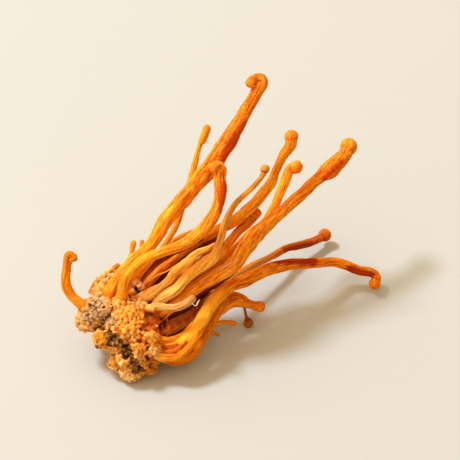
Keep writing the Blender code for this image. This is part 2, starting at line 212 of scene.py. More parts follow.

# %% [markdown]
# ## The stems' routes
# A route point is across, up, height and the stem's radius there, from the root inside the clump
# to the middle of the tip's knob. They are the same points that the imported solids follow, so
# each wrinkled stem lies where its plain solid does. Only the ends of a few differ, by a
# millimetre at most, to round their heads out or to tuck them into what they lie on.

# %% Routes
ROUTES = {
    "tall_stem": (
        (-6.0, 18.5, 14.5, 1.3), (-5.0, 21.3, 17.0, 1.35), (-3.8, 23.3, 18.3, 1.4),
        (-2.0, 26.3, 20.3, 1.4), (0.9, 29.6, 22.8, 1.4), (5.8, 34.0, 26.5, 1.6),
        (10.0, 40.5, 31.5, 2.0), (15.5, 47.0, 36.5, 2.15), (20.5, 53.0, 41.5, 2.2),
        (24.3, 58.5, 46.0, 2.3), (27.0, 63.0, 49.7, 2.0), (28.5, 65.5, 51.8, 1.7),
        (31.3, 70.3, 55.5, 1.55), (33.1, 73.4, 57.7, 1.75), (33.0, 74.8, 58.8, 1.6),
        (31.7, 75.0, 59.2, 1.25), (30.6, 73.9, 58.9, 1.35),
    ),
    "thin_back_stem": (
        (-0.8, 18.0, 10.6, 0.9), (-0.5, 19.5, 11.5, 0.9), (0.5, 22.5, 13.5, 0.9),
        (3.0, 26.5, 16.0, 0.9), (5.5, 29.5, 18.5, 0.85), (8.8, 33.3, 22.0, 0.8),
        (12.0, 38.5, 26.5, 0.8), (14.5, 46.3, 32.0, 0.8), (16.5, 53.0, 36.5, 0.85),
        (17.3, 56.5, 39.0, 0.75), (18.0, 58.8, 40.5, 0.65), (18.7, 60.0, 41.4, 1.05),
        (19.7, 62.8, 43.4, 1.0),
    ),
    "crooked_stem": (
        (-2.0, 19.3, 16.6, 1.1), (-1.4, 21.3, 18.5, 1.1), (-1.0, 24.0, 20.8, 1.15),
        (0.7, 27.0, 23.8, 1.2), (3.8, 29.8, 26.3, 1.25), (8.3, 31.8, 28.5, 1.3),
        (11.8, 33.0, 30.0, 1.4), (15.3, 34.8, 31.5, 1.55), (18.5, 37.3, 33.3, 1.6),
        (21.2, 40.8, 35.8, 1.65), (22.7, 44.4, 38.2, 1.55), (23.2, 47.3, 40.4, 1.55),
        (22.9, 50.2, 42.6, 1.5), (23.1, 52.2, 44.0, 1.6), (22.5, 53.3, 44.9, 1.45),
        (21.4, 53.0, 45.4, 1.25),
    ),
    "pale_wavy_stem": (
        (4.4, 16.6, 11.6, 1.2), (6.8, 18.8, 14.4, 1.25), (9.1, 20.8, 17.2, 1.25),
        (12.0, 22.8, 19.5, 1.35), (14.9, 25.8, 22.0, 1.4), (18.8, 28.9, 24.8, 1.6),
        (21.3, 30.7, 26.3, 1.5), (22.5, 33.0, 27.8, 1.15), (23.5, 36.3, 29.8, 1.0),
        (24.4, 39.6, 31.8, 0.95), (27.0, 44.2, 34.8, 0.75), (31.4, 48.4, 37.6, 0.75),
        (33.5, 50.9, 39.2, 0.7), (34.2, 52.7, 40.2, 1.2),
    ),
    "middle_club_stem": (
        (1.2, 17.5, 11.2, 1.1), (2.0, 19.3, 12.5, 1.1), (5.0, 23.8, 15.0, 1.1),
        (8.0, 27.5, 17.0, 1.2), (11.8, 30.5, 19.0, 1.2), (18.0, 35.0, 22.5, 1.3),
        (23.0, 37.8, 25.0, 1.3), (27.0, 40.1, 27.5, 1.5), (31.8, 44.4, 30.5, 1.5),
        (35.6, 49.1, 33.5, 1.35), (37.0, 52.3, 35.8, 1.1), (38.7, 56.0, 38.5, 1.35),
        (40.6, 58.6, 40.3, 1.5), (40.8, 60.8, 41.4, 1.75),
    ),
    "knobbed_stem": (
        (4.4, 14.6, 7.0, 1.0), (6.8, 16.2, 8.2, 1.0), (11.0, 19.3, 10.3, 1.0),
        (15.5, 22.4, 12.4, 1.0), (20.0, 25.7, 14.6, 1.0), (23.5, 28.5, 16.6, 1.0),
        (27.0, 33.0, 19.0, 1.0), (30.5, 36.8, 21.0, 1.0), (33.9, 39.2, 22.8, 1.1),
        (36.5, 43.4, 25.5, 1.15), (38.7, 48.2, 27.5, 1.3), (39.6, 50.9, 28.6, 1.4),
        (40.6, 53.0, 29.6, 1.25), (42.1, 53.3, 30.2, 1.7),
    ),
    "right_club_stem": (
        (5.4, 14.4, 10.8, 1.3), (7.5, 15.8, 12.2, 1.3), (10.8, 18.2, 14.1, 1.35),
        (15.5, 22.0, 17.2, 1.5), (21.0, 25.5, 20.0, 1.75), (24.3, 27.5, 21.5, 1.9),
        (27.5, 30.1, 22.8, 2.0), (31.8, 36.1, 24.8, 2.0), (34.2, 38.3, 25.6, 1.75),
        (38.8, 42.3, 27.0, 1.6), (43.8, 46.8, 28.7, 1.5), (46.2, 49.3, 29.6, 1.45),
        (48.1, 50.7, 30.3, 1.6), (50.0, 52.2, 31.0, 2.2), (51.8, 53.8, 31.6, 2.1),
        (54.1, 56.3, 32.4, 1.85), (55.3, 58.5, 33.0, 2.2),
    ),
    "low_right_stem": (
        (5.0, 10.6, 7.4, 1.5), (7.5, 11.6, 8.1, 1.6), (9.0, 12.8, 8.9, 1.7),
        (12.0, 14.1, 9.5, 1.65), (15.8, 16.0, 10.0, 1.6), (18.9, 18.4, 10.2, 1.45),
        (21.8, 22.0, 10.3, 1.3), (25.5, 25.0, 9.9, 1.1), (30.4, 28.1, 8.8, 0.95),
        (35.0, 30.3, 7.4, 0.9), (39.6, 32.8, 5.9, 1.05), (42.3, 33.5, 5.0, 1.1),
        (45.5, 34.3, 4.0, 1.1), (48.3, 35.4, 3.3, 1.05), (49.6, 36.2, 3.1, 1.65),
    ),
    "long_low_stem": (
        (6.0, 7.9, 6.4, 2.1), (9.3, 7.5, 7.0, 2.2), (12.0, 7.6, 7.8, 2.2),
        (14.1, 9.4, 9.0, 2.0), (16.4, 11.8, 10.5, 1.75), (18.3, 14.8, 12.0, 1.75),
        (20.0, 17.8, 13.4, 1.75), (22.5, 21.0, 14.5, 1.75), (25.4, 23.4, 15.1, 1.75),
        (28.8, 24.8, 15.1, 1.75), (32.3, 26.5, 14.8, 1.6), (35.8, 27.8, 14.2, 1.55),
        (39.0, 28.6, 13.4, 1.5), (42.3, 29.0, 12.2, 1.4), (45.8, 29.2, 10.6, 1.3),
        (49.4, 29.4, 9.0, 1.2), (52.0, 29.4, 7.7, 1.25), (55.3, 28.4, 6.3, 1.3),
        (58.0, 27.3, 5.3, 1.25), (61.0, 26.8, 4.5, 1.25), (62.4, 25.8, 3.8, 1.15),
        (62.0, 23.9, 3.1, 1.5),
    ),
    "under_stem": (
        (5.2, 7.0, 3.9, 1.2), (8.0, 6.2, 3.5, 1.25), (12.0, 5.1, 3.1, 1.3),
        (15.5, 6.2, 3.7, 1.3), (18.0, 9.3, 4.9, 1.3), (20.0, 13.0, 6.1, 1.3),
        (22.0, 16.3, 7.2, 1.3), (24.0, 19.0, 8.0, 1.35), (26.0, 20.6, 8.3, 1.4),
        (28.0, 20.3, 8.1, 1.4), (29.9, 19.2, 7.8, 1.2), (31.5, 18.6, 7.4, 1.15),
        (33.0, 18.3, 7.1, 1.4),
    ),
    "low_back_stem": (
        (-0.6, 16.4, 8.0, 1.0), (-0.1, 18.9, 8.8, 1.05), (2.0, 23.6, 11.2, 1.1),
        (4.4, 27.8, 13.0, 1.1), (7.6, 31.2, 13.2, 1.15), (11.3, 34.3, 11.2, 1.15),
        (14.5, 35.9, 7.8, 1.2), (17.8, 37.1, 4.2, 1.2), (20.4, 37.6, 2.0, 1.25),
        (22.2, 37.4, 1.05, 1.3),
    ),
    "pale_inner_stem": (
        (1.4, 18.8, 14.6, 1.3), (3.2, 20.2, 15.8, 1.3), (5.8, 21.8, 17.2, 1.35),
        (8.2, 23.3, 18.3, 1.05), (10.3, 25.0, 20.0, 1.1), (11.6, 26.8, 21.5, 1.2),
        (13.5, 28.3, 22.8, 1.25), (15.3, 30.0, 24.0, 1.2), (17.5, 31.8, 25.2, 1.0),
        (19.7, 32.7, 26.0, 0.8), (21.7, 33.8, 25.6, 0.6),
    ),
    "short_club_stem": (
        (4.2, 16.4, 10.2, 0.95), (6.0, 18.0, 11.4, 0.95), (10.5, 21.0, 13.0, 0.95),
        (15.5, 24.6, 15.2, 1.0), (20.5, 28.4, 18.0, 1.1), (23.8, 31.0, 20.0, 1.15),
        (24.8, 33.7, 21.6, 1.15), (27.9, 37.5, 24.2, 1.15), (30.0, 39.2, 25.4, 1.15),
        (32.2, 41.8, 27.0, 1.15),
    ),
    "cream_stub": (
        (3.2, 16.8, 12.0, 0.9), (5.2, 17.8, 14.0, 0.9), (7.3, 18.4, 16.2, 0.9),
        (10.0, 18.3, 17.4, 0.9), (12.0, 18.2, 17.9, 0.95), (13.9, 18.9, 18.4, 1.05),
        (15.6, 19.9, 19.1, 1.1), (16.2, 20.4, 19.5, 1.0),
    ),
    "left_curled_stem": (
        (-9.2, 17.4, 13.8, 1.1), (-11.3, 18.9, 15.0, 1.1), (-13.5, 20.7, 16.5, 1.15),
        (-15.1, 23.0, 18.4, 1.25), (-15.4, 25.3, 20.3, 1.2), (-15.1, 27.7, 22.2, 1.15),
        (-14.8, 29.6, 23.7, 1.15), (-14.4, 31.0, 24.8, 1.3), (-13.3, 30.9, 25.2, 0.8),
    ),
    "left_sprout": (
        (-7.2, 18.8, 12.6, 0.8), (-8.2, 21.5, 14.4, 0.8), (-8.2, 23.6, 15.7, 0.7),
        (-6.8, 25.2, 16.6, 0.65), (-5.1, 26.6, 17.3, 0.6), (-3.7, 27.8, 17.8, 0.6),
        (-2.6, 28.5, 18.0, 0.65),
    ),
    "club_sprout": (
        (-4.3, 18.8, 12.0, 0.6), (-3.9, 21.0, 13.6, 0.6), (-2.6, 24.2, 16.0, 0.6),
        (-1.2, 26.6, 17.8, 0.6), (0.3, 29.2, 19.9, 0.6), (0.9, 31.8, 22.0, 0.6),
        (1.4, 34.2, 23.8, 0.75),
    ),
    "thin_sprout": (
        (-2.8, 18.6, 11.0, 0.5), (-2.2, 20.8, 12.4, 0.5), (-0.6, 24.2, 14.6, 0.5),
        (1.4, 27.4, 16.8, 0.5), (2.8, 30.5, 18.7, 0.5), (3.3, 33.0, 20.3, 0.5),
        (3.5, 34.6, 21.4, 0.55),
    ),
    "hanging_knob": (
        (28.8, 20.0, 8.0, 0.4), (29.1, 18.1, 5.9, 0.32), (29.4, 16.4, 3.6, 0.3),
        (29.8, 15.1, 1.9, 0.5), (30.1, 14.2, 1.05, 1.1),
    ),
    "side_twig": (
        (20.8, 14.4, 6.4, 0.5), (21.9, 14.0, 5.0, 0.5), (23.2, 14.3, 4.2, 0.5),
        (25.1, 14.4, 3.4, 0.5), (26.5, 14.1, 2.7, 0.6),
    ),
}
print(len(ROUTES), "stems")

# %% [markdown]
# ## From a route to a spine
# A stem is a tube, so it could be a bevelled curve. A wrinkled one needs more: its thickness, the
# distance from the root and how rough it is there all change along it. So each route becomes a
# fine chain of points, a spine, that carries those as attributes, and Geometry Nodes grow the
# flesh round it. A smooth curve through the points has to pass through every one of them, which
# is what a Catmull-Rom curve does.

# %% Smooth routes
STEP = 0.17 * MM  # between two rings of the flesh
FEWEST_STEPS = 8
FINE_SAMPLES = 40  # between two route points


def smooth_route(route):
    """Places and radii along the route, in metres, with a step of STEP between them."""
    knots = np.array([(*to_world(*point[:3]), point[3] * MM) for point in route])
    first = 2 * knots[0] - knots[1]
    last = 2 * knots[-1] - knots[-2]
    first[3] = knots[0][3]
    last[3] = knots[-1][3]
    padded = np.vstack([first, knots, last])
    t = np.arange(FINE_SAMPLES)[:, None] / FINE_SAMPLES
    runs = []
    for p0, p1, p2, p3 in zip(padded, padded[1:], padded[2:], padded[3:]):
        bend = 2 * p0 - 5 * p1 + 4 * p2 - p3
        twist = 3 * p1 - p0 - 3 * p2 + p3
        runs.append(0.5 * (2 * p1 + (p2 - p0) * t + bend * t**2 + twist * t**3))
    samples = np.vstack([*runs, knots[-1:]])
    lengths = np.linalg.norm(np.diff(samples[:, :3], axis=0), axis=1)
    along = np.concatenate([[0.0], np.cumsum(lengths)])
    wanted = np.linspace(0.0, along[-1], max(int(along[-1] / STEP), FEWEST_STEPS))
    return np.stack([np.interp(wanted, along, samples[:, i]) for i in range(4)], axis=1), wanted


print("the tallest stem, mm:", round(smooth_route(ROUTES["tall_stem"])[1][-1] / MM, 1))

# %% [markdown]
# ## What a spine carries
# No stem grows straight, so a spine strays a little from its route. Its girth swells at the root,
# draws in to a neck under a knob, and closes over the tip in a dome. Where there is a knob the
# skin is calmer, and on a club it is rougher, so each point carries that too.

# %% Spines
MEANDER = 0.07  # how far a spine strays, in radii
MEANDER_LENGTH = 4.5 * MM
MEANDER_SEED = 1  # without one, this noise would start from the clock
MEANDER_SHIFT = 3.7  # from one stem's noise to the next one's
MEANDER_SLICE = 0.5  # off the noise's own grid, where it is 0
STEADY_ROOT = 3 * MM  # the straying grows over this length
STEADY_TIP = (0.5 * MM, 4 * MM)  # and is gone by this distance from the tip
ROOT_SWELL = 0.22 * MM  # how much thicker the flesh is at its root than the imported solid
ROOT_SWELL_LENGTH = 16 * MM
ROOT_SWELL_SHARE = 0.25  # and at most this share of the radius, for threads
CREASE = 0.12 * MM  # softness of the crease where a knob sits on its neck
KNOB_START = 1.5  # how far below a knob's middle its shape starts, in radii
KNOB_FREE = 0.6  # and where the neck no longer shows
CALM_LENGTH = 5.0 * MM  # a knob and its neck are smoother than the stem below
CALMEST = 0.3  # the share of that length where they are smoothest
ROUGH_EDGE = 2.5  # millimetres over which a club's pimples fade in
FEWEST_DOME_RINGS = 4
DIMPLE_POWER = 1.5  # above 1, so that a dimple's rim is smooth


def fade(value, start, end):
    """0 before start, 1 past end, and smooth in between."""
    t = np.clip((value - start) / (end - start), 0.0, 1.0)
    return t * t * (3 - 2 * t)


def strayed(places, girth, along, seed):
    """The spine's places, moved a little to and fro, as nothing grows straight."""
    moved = places.copy()
    for i, distance in enumerate(along):
        spot = Vector((distance / MEANDER_LENGTH, seed * MEANDER_SHIFT, MEANDER_SLICE))
        steady = fade(distance, 0.0, STEADY_ROOT) * fade(along[-1] - distance, *STEADY_TIP)
        moved[i] += np.array(noise.noise_vector(spot)) * MEANDER * girth[i] * steady
    return moved


def knobbed(girth, before, neck_radius):
    """The girth with a ball at the tip, on a neck. before is the way to the ball's middle, below 0."""
    radius = girth[-1]
    neck = np.where(before > -radius, np.minimum(girth, neck_radius), girth)
    ball = np.sqrt(np.clip(radius**2 - before**2, 0.0, None))
    melted = 0.5 * (neck + ball + np.sqrt((neck - ball) ** 2 + CREASE**2))
    near = fade(before, -KNOB_FREE * radius, 0.0)
    return np.where(before > -radius * KNOB_START, melted * (1 - near) + ball * near, girth)


def spine(name, route, knob, dimple, club, seed):
    """A chain of points with the attributes girth, along, calm, rough and dent."""
    path, along = smooth_route(route)
    swell = np.minimum(ROOT_SWELL, ROOT_SWELL_SHARE * path[:, 3])
    girth = path[:, 3] + swell * (1 - fade(along, 0.0, ROOT_SWELL_LENGTH))
    places = strayed(path[:, :3], girth, along, seed)
    total = along[-1]
    radius = girth[-1]
    if knob:
        girth = knobbed(girth, along - total, route[-2][3] * MM)

    heading = places[-1] - places[-4]
    heading /= np.linalg.norm(heading)
    rings = max(int(radius * math.pi / 2 / STEP), FEWEST_DOME_RINGS)
    turns = np.linspace(0.0, math.pi / 2, rings + 1)[1:]
    dome = places[-1] + np.outer(np.sin(turns), heading) * radius
    places = np.vstack([places, dome])
    girth = np.concatenate([girth, np.cos(turns) * radius])
    girth[0] = 0.0
    girth[-1] = 0.0
    along = np.concatenate([along, total + np.sin(turns) * radius])
    from_tip = along[-1] - along
    if club > 0:
        rough = fade(from_tip, club * MM, (club - ROUGH_EDGE) * MM)
    else:
        rough = np.zeros(len(along))
    values = {
        "girth": girth,
        "along": along / MM,
        "calm": fade(from_tip, CALM_LENGTH, CALMEST * CALM_LENGTH),
        "rough": rough,
        "dent": dimple * MM * np.clip(1 - girth / radius, 0.0, 1.0) ** DIMPLE_POWER * (along > total),
    }

    mesh = bpy.data.meshes.new(name)
    mesh.from_pydata(places.tolist(), [(i, i + 1) for i in range(len(places) - 1)], [])
    for key, value in values.items():
        attribute = mesh.attributes.new(key, "FLOAT", "POINT")
        attribute.data.foreach_set("value", value.astype(np.float32))
    return mesh


noise.seed_set(MEANDER_SEED)
print("one step of a spine, mm:", STEP / MM)

# %% [markdown]
# ## Flesh round a spine
# A tube with wrinkles could be sculpted, but twenty stems follow one rule, so a tree of Geometry
# Nodes grows them all. It sweeps a ring along the spine, as thick as the spine says. Each point
# keeps its angle round the stem as an attribute. With the distance from the root that makes a
# position on the skin, and the marks that run along the stem are laid out by it.

# %% Sweep along the spine
FLESH_INPUTS = (
    ("Sides", "NodeSocketInt", 48),
    ("Lobe depth", "NodeSocketFloat", 0.1),
    ("Furrow depth", "NodeSocketFloat", 0.1),
    ("Furrows around", "NodeSocketFloat", 2.0),
    ("Furrow length", "NodeSocketFloat", 7.0),
    ("Twist", "NodeSocketFloat", 0.03),
    ("Wrinkle height", "NodeSocketFloat", 0.22 * MM),
    ("Grain height", "NodeSocketFloat", 0.07 * MM),
    ("Pimple height", "NodeSocketFloat", 0.1 * MM),
    ("Seed", "NodeSocketFloat", 0.0),
    ("Skin", "NodeSocketMaterial", None),
)


def new_tree(name, inputs):
    """An empty Geometry Nodes tree with a geometry in and out, and the named inputs."""
    tree = bpy.data.node_groups.new(name, "GeometryNodeTree")
    face = tree.interface
    face.new_socket("Geometry", in_out="INPUT", socket_type="NodeSocketGeometry")
    face.new_socket("Geometry", in_out="OUTPUT", socket_type="NodeSocketGeometry")
    for label, kind, value in inputs:
        socket = face.new_socket(label, in_out="INPUT", socket_type=kind)
        if value is not None:
            socket.default_value = value
    return tree, tree.nodes.new("NodeGroupInput").outputs


flesh, given = new_tree("flesh round a spine", FLESH_INPUTS)
here = add(flesh, "GeometryNodeInputPosition", {})
tangent = add(flesh, "GeometryNodeInputTangent", {})
line = add(flesh, "GeometryNodeMeshToCurve", [given["Geometry"]])
line = add(flesh, STORE, {0: line, "Name": "core", "Value": here}, data_type="FLOAT_VECTOR")
line = add(flesh, STORE, {0: line, "Name": "heading", "Value": tangent}, data_type="FLOAT_VECTOR")
ring = add(flesh, "GeometryNodeCurvePrimitiveCircle", {"Resolution": given["Sides"], "Radius": 1.0})
turn = add(flesh, "GeometryNodeSplineParameter", {}, out="Factor")
turn = add(flesh, MATH, [turn, 2 * math.pi], operation="MULTIPLY")
ring = add(flesh, STORE, {0: ring, "Name": "turn", "Value": turn}, data_type="FLOAT")
girth = add(flesh, READ, {"Name": "girth"}, data_type="FLOAT")
tube = add(flesh, "GeometryNodeCurveToMesh", {"Curve": line, "Profile Curve": ring, "Scale": girth})

core, heading = (
    add(flesh, READ, {"Name": name}, data_type="FLOAT_VECTOR") for name in ("core", "heading")
)
along, rough, dent, turn, calm = (
    add(flesh, READ, {"Name": name}, data_type="FLOAT")
    for name in ("along", "rough", "dent", "turn", "calm")
)
angle = add(flesh, MATH, [along, given["Twist"], turn], operation="MULTIPLY_ADD")
cosine = add(flesh, MATH, [angle], operation="COSINE")
sine = add(flesh, MATH, [angle], operation="SINE")
round_it = add(flesh, XYZ, {"X": cosine, "Y": sine})
print("sweep:", len(flesh.nodes), "nodes")

# %% [markdown]
# ## Relief on the flesh
# Drying shrinks a stem onto its fibres. That leaves a few broad flats all the way up, sharp
# furrows between them that twist a little, short wrinkles and a fine grain. On a club the skin
# carries small pimples. Broad lobes and furrows are shares of the stem's own radius; wrinkles,
# grain and pimples are real heights. A noise that is read on a ring, with the distance from the
# root as its third axis, has no seam and makes marks that run along the stem.

# %% Relief
LOBE_LENGTH = 9.0  # millimetres
LOBE_SCALE = 0.9
WRINKLE_LENGTH = 3.0
WRINKLES_AROUND = 2.4
GRAIN_SIZE = 0.55 * MM
PIMPLE_SIZE = 0.55 * MM
PIMPLE_EDGE = 0.6  # where a pimple ends, in the cell pattern's own range
FURROW_EDGE = 0.15  # how wide a furrow is, in the noise's own range
CALM_SHARE = 0.25  # how much of the lobes and furrows is left on a knob
THIN = 0.3 * MM  # grain and pimples fade where the girth is under this


def ring_noise(around, length, seed_axis, **settings):
    """A noise about 0 on the stem's skin, with marks of this length in millimetres."""
    rise = add(flesh, MATH, [along, length], operation="DIVIDE")
    shift = add(flesh, XYZ, {seed_axis: given["Seed"], "Z": rise})
    ring = add(flesh, VECTOR, {0: round_it, "Scale": around}, operation="SCALE")
    spot = add(flesh, VECTOR, [ring, shift], operation="ADD")
    marks = add(flesh, NOISE, {"Vector": spot, "Scale": 1.0, **settings})
    return add(flesh, MATH, [marks, NOISE_MIDDLE], operation="SUBTRACT")


lobes = ring_noise(1.0, LOBE_LENGTH, "X", Scale=LOBE_SCALE, Detail=1.0)
lobes = add(flesh, MATH, [lobes, given["Lobe depth"]], operation="MULTIPLY")
furrows = ring_noise(given["Furrows around"], given["Furrow length"], "Y", Detail=1.5)
furrows = add(flesh, MATH, [furrows], operation="ABSOLUTE")
edge = {"Value": furrows, "From Max": FURROW_EDGE, "To Min": 1.0, "To Max": 0.0}
furrows = add(flesh, RANGE, edge, interpolation_type="SMOOTHSTEP")
furrows = add(flesh, MATH, [furrows, given["Furrow depth"]], operation="MULTIPLY")
swell = add(flesh, MATH, [lobes, furrows], operation="SUBTRACT")
calm = add(flesh, RANGE, {"Value": calm, "To Min": 1.0, "To Max": CALM_SHARE})
swell = add(flesh, MATH, [swell, calm], operation="MULTIPLY")

wrinkles = ring_noise(WRINKLES_AROUND, WRINKLE_LENGTH, "X", Detail=2.0, Roughness=0.6)
wrinkles = add(flesh, MATH, [wrinkles, given["Wrinkle height"]], operation="MULTIPLY")
grain = add(flesh, NOISE, {"Scale": 1 / GRAIN_SIZE, "Detail": 2.0})
grain = add(flesh, MATH, [grain, NOISE_MIDDLE], operation="SUBTRACT")
grain = add(flesh, MATH, [grain, given["Grain height"], wrinkles], operation="MULTIPLY_ADD")
pimples = add(flesh, CELLS, {"Scale": 1 / PIMPLE_SIZE})
edge = {"Value": pimples, "From Max": PIMPLE_EDGE, "To Min": 1.0, "To Max": 0.0}
pimples = add(flesh, RANGE, edge, interpolation_type="SMOOTHSTEP")
pimples = add(flesh, MATH, [pimples, given["Pimple height"]], operation="MULTIPLY")
height = add(flesh, MATH, [pimples, rough, grain], operation="MULTIPLY_ADD")
taper = add(flesh, RANGE, {"Value": girth, "From Max": THIN})
height = add(flesh, MATH, [height, taper], operation="MULTIPLY")
print("sweep and relief:", len(flesh.nodes), "nodes")

# %% [markdown]
# ## Moving the skin
# Broad marks move a point away from the stem's own middle line, so that they grow with the stem.
# Fine ones lift it along the skin's normal, and a dimple sinks it against the stem's heading. The
# cavity, how far a point lies below its neighbours, is stored last: materials find folds by it and
# paint shade into them.

# %% Moved skin
WELD = 1e-6  # closes the ends, where a ring shrinks to a point
CAVITY_ROUNDS = 7

outward = add(flesh, VECTOR, [here, core], operation="SUBTRACT")
push = add(flesh, VECTOR, {0: outward, "Scale": swell}, operation="SCALE")
normal = add(flesh, "GeometryNodeInputNormal", {})
lift = add(flesh, VECTOR, {0: normal, "Scale": height}, operation="SCALE")
sink = add(flesh, MATH, [dent, -1.0], operation="MULTIPLY")
sink = add(flesh, VECTOR, {0: heading, "Scale": sink}, operation="SCALE")
move = add(flesh, VECTOR, [push, lift], operation="ADD")
move = add(flesh, VECTOR, [move, sink], operation="ADD")
skin = add(flesh, "GeometryNodeSetPosition", {0: tube, "Offset": move})
skin = add(flesh, "GeometryNodeMergeByDistance", {0: skin, "Distance": WELD})
skin = add(flesh, "GeometryNodeSetShadeSmooth", [skin])
skin_spot = add(flesh, XYZ, {"X": cosine, "Y": sine, "Z": along})
skin = add(flesh, STORE, {0: skin, "Name": "skin", "Value": skin_spot}, data_type="FLOAT_VECTOR")


def store_cavity(tree, geometry, name, rounds):
    """Stores how far each point lies below its neighbours' mean, in millimetres."""
    place = add(tree, "GeometryNodeInputPosition", {})
    blur = {"Value": place, "Iterations": rounds}
    mean = add(tree, "GeometryNodeBlurAttribute", blur, data_type="FLOAT_VECTOR")
    above = add(tree, VECTOR, [mean, place], operation="SUBTRACT")
    out = add(tree, "GeometryNodeInputNormal", {})
    depth = add(tree, VECTOR, [above, out], out="Value", operation="DOT_PRODUCT")
    depth = add(tree, MATH, [depth, 1 / MM], operation="MULTIPLY")
    return add(tree, STORE, {0: geometry, "Name": name, "Value": depth}, data_type="FLOAT")


skin = store_cavity(flesh, skin, "cavity", CAVITY_ROUNDS)
skin = add(flesh, "GeometryNodeRealizeInstances", [skin])
skin = add(flesh, "GeometryNodeSetMaterial", {0: skin, "Material": given["Skin"]})
add(flesh, "NodeGroupOutput", [skin])
print("flesh tree:", len(flesh.nodes), "nodes")

# %% [markdown]
# ## Growing a piece
# A tree only says how to grow. To grow a piece, the trees are put on its mesh as modifiers, and
# what they make is copied to a plain mesh, so that the modifiers can go. Numbers that differ from
# point to point, such as how ripe the flesh is, are stored on that mesh for the materials.

# %% Growing
def grown(name, mesh, steps):
    """A plain mesh object made by a row of steps: a tree and its inputs, or REMESH and a voxel."""
    thing = bpy.data.objects.new(name, mesh)
    bpy.context.scene.collection.objects.link(thing)
    for tree, values in steps:
        if tree == "REMESH":
            melt = thing.modifiers.new("Melt", "REMESH")
            melt.mode = "VOXEL"
            melt.voxel_size = values
            continue
        growth = thing.modifiers.new("Grow", "NODES")
        growth.node_group = tree
        for socket in tree.interface.items_tree:
            if socket.in_out == "INPUT" and socket.name in values:
                growth[socket.identifier] = values[socket.name]
    graph = bpy.context.evaluated_depsgraph_get()
    made = bpy.data.meshes.new_from_object(thing.evaluated_get(graph))
    made.name = name
    thing.modifiers.clear()
    thing.data = made
    return thing


def points_of(mesh):
    """The mesh's points as an array."""
    flat = np.empty(len(mesh.vertices) * 3, np.float32)
    mesh.vertices.foreach_get("co", flat)
    return flat.reshape(-1, 3).astype(float)


def triangles_of(mesh):
    """How many triangles the mesh's faces make, as a face with n corners makes n - 2."""
    return len(mesh.loops) - 2 * len(mesh.polygons)


def move_points(thing, places):
    """Puts the piece's points at these places."""
    thing.data.vertices.foreach_set("co", places.astype(np.float32).ravel())
    thing.data.update()


def store(thing, name, values):
    """Stores a number for each point of the piece."""
    stored = thing.data.attributes.new(name, "FLOAT", "POINT")
    stored.data.foreach_set("value", values.astype(np.float32))


def lay_down(thing):
    """Keeps every point on or above the table."""
    places = points_of(thing.data)
    places[:, 2] = np.maximum(places[:, 2], 0.0)
    move_points(thing, places)


def attach(thing, slot, *nodes):
    """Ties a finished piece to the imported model, in place of the nodes, if any are given."""
    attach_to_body(thing, "root")
    if nodes:
        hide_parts(*nodes)


# %% [markdown]
# ## Marks from the photograph
# Some marks were read from the photograph, by the pixel of their middle. The line of sight
# through that pixel finds the spot on the finished piece, wherever its surface came to lie.
# There the skin is pressed in, or a number is stored that fades with the distance.

# %% Pits and spots
PIT_EDGE = 1.4  # where a pit ends, in its radii
SPOT_CORE = 0.3  # a spot is whole up to here, in its radii
SPOT_EDGE = 1.3  # and ends here


def surface_of(thing):
    """The piece's faces, ready for lines of sight."""
    return BVHTree.FromObject(thing, bpy.context.evaluated_depsgraph_get())


def touched(surface, x, y):
    """The spot where the line of sight through a pixel first meets the surface, and the line."""
    eye, line = sight(x, y)
    spot = surface.ray_cast(eye, line)[0]
    if spot is None:
        print("a pixel misses:", x, y)
    return spot, line


def press(thing, pits):
    """Presses each pit into the piece, and returns how much of a pit each point is in."""
    pressed = np.zeros(len(thing.data.vertices))
    for x, y, radius, depth in pits:
        spot, line = touched(surface_of(thing), x, y)
        if spot is None:
            continue
        places = points_of(thing.data)
        distance = np.linalg.norm(places - np.array(spot), axis=1)
        share = 1 - fade(distance, 0.0, PIT_EDGE * radius * MM)
        move_points(thing, places + np.outer(share * depth * MM, np.array(line)))
        pressed = np.maximum(pressed, share)
    return pressed


def near_pixels(thing, spots):
    """1 near the spots of the piece that the pixels show, 0 past their radii, smooth between."""
    places = points_of(thing.data)
    share = np.zeros(len(places))
    surface = surface_of(thing)
    for x, y, radius in spots:
        spot, _ = touched(surface, x, y)
        if spot is None:
            continue
        distance = np.linalg.norm(places - np.array(spot), axis=1) / (radius * MM)
        share = np.maximum(share, 1 - fade(distance, SPOT_CORE, SPOT_EDGE))
    return share


print("a pit's and a spot's edge, in radii:", PIT_EDGE, SPOT_EDGE)

# %% [markdown]
# ## Dried flesh as a material
# The stems are dried fungal flesh, coloured by carotene: deep orange where it is thick, yellow
# where it is worn or thin, nearly cream at the root. It is matt with a faint waxy shine and lets a
# little light through. The colour runs in streaks along the stem, which a noise on the stem's own
# skin position gives: quick round the stem and slow along it. Furrows read the stored cavity, and
# shade is painted into them, so the dark lines lie exactly in the modelled folds. Ripe flesh is
# redder and loses its pale streaks; painted shade is added to the ripeness, so it turns the flesh
# redder in the same way. The streaks and the grain are drawn about twice as coarse as they are, so
# that they show. The colours are laid over each other as glazes are, in the order of a table, which
# the crust's material does too.

# %% Glazes and gloss
ROUGHNESS_SPREAD = 0.1
GLOW_DEPTH = 0.7 * MM
GLOW_COLOURS = (1.0, 0.25, 0.05)  # how far red, green and blue light spread, in that depth


def lay_glazes(tree, colour, glazes):
    """Lays colours over one another. A glaze is a value, where it starts and is full, how much, hue."""
    for value, start, full, most, code in glazes:
        share = {"Value": value, "From Min": start, "From Max": full, "To Max": most}
        share = add(tree, RANGE, share)
        over = {"Factor": share, "A": colour, "B": linear(code)}
        colour = add(tree, MIX, over, data_type="RGBA")
    return colour


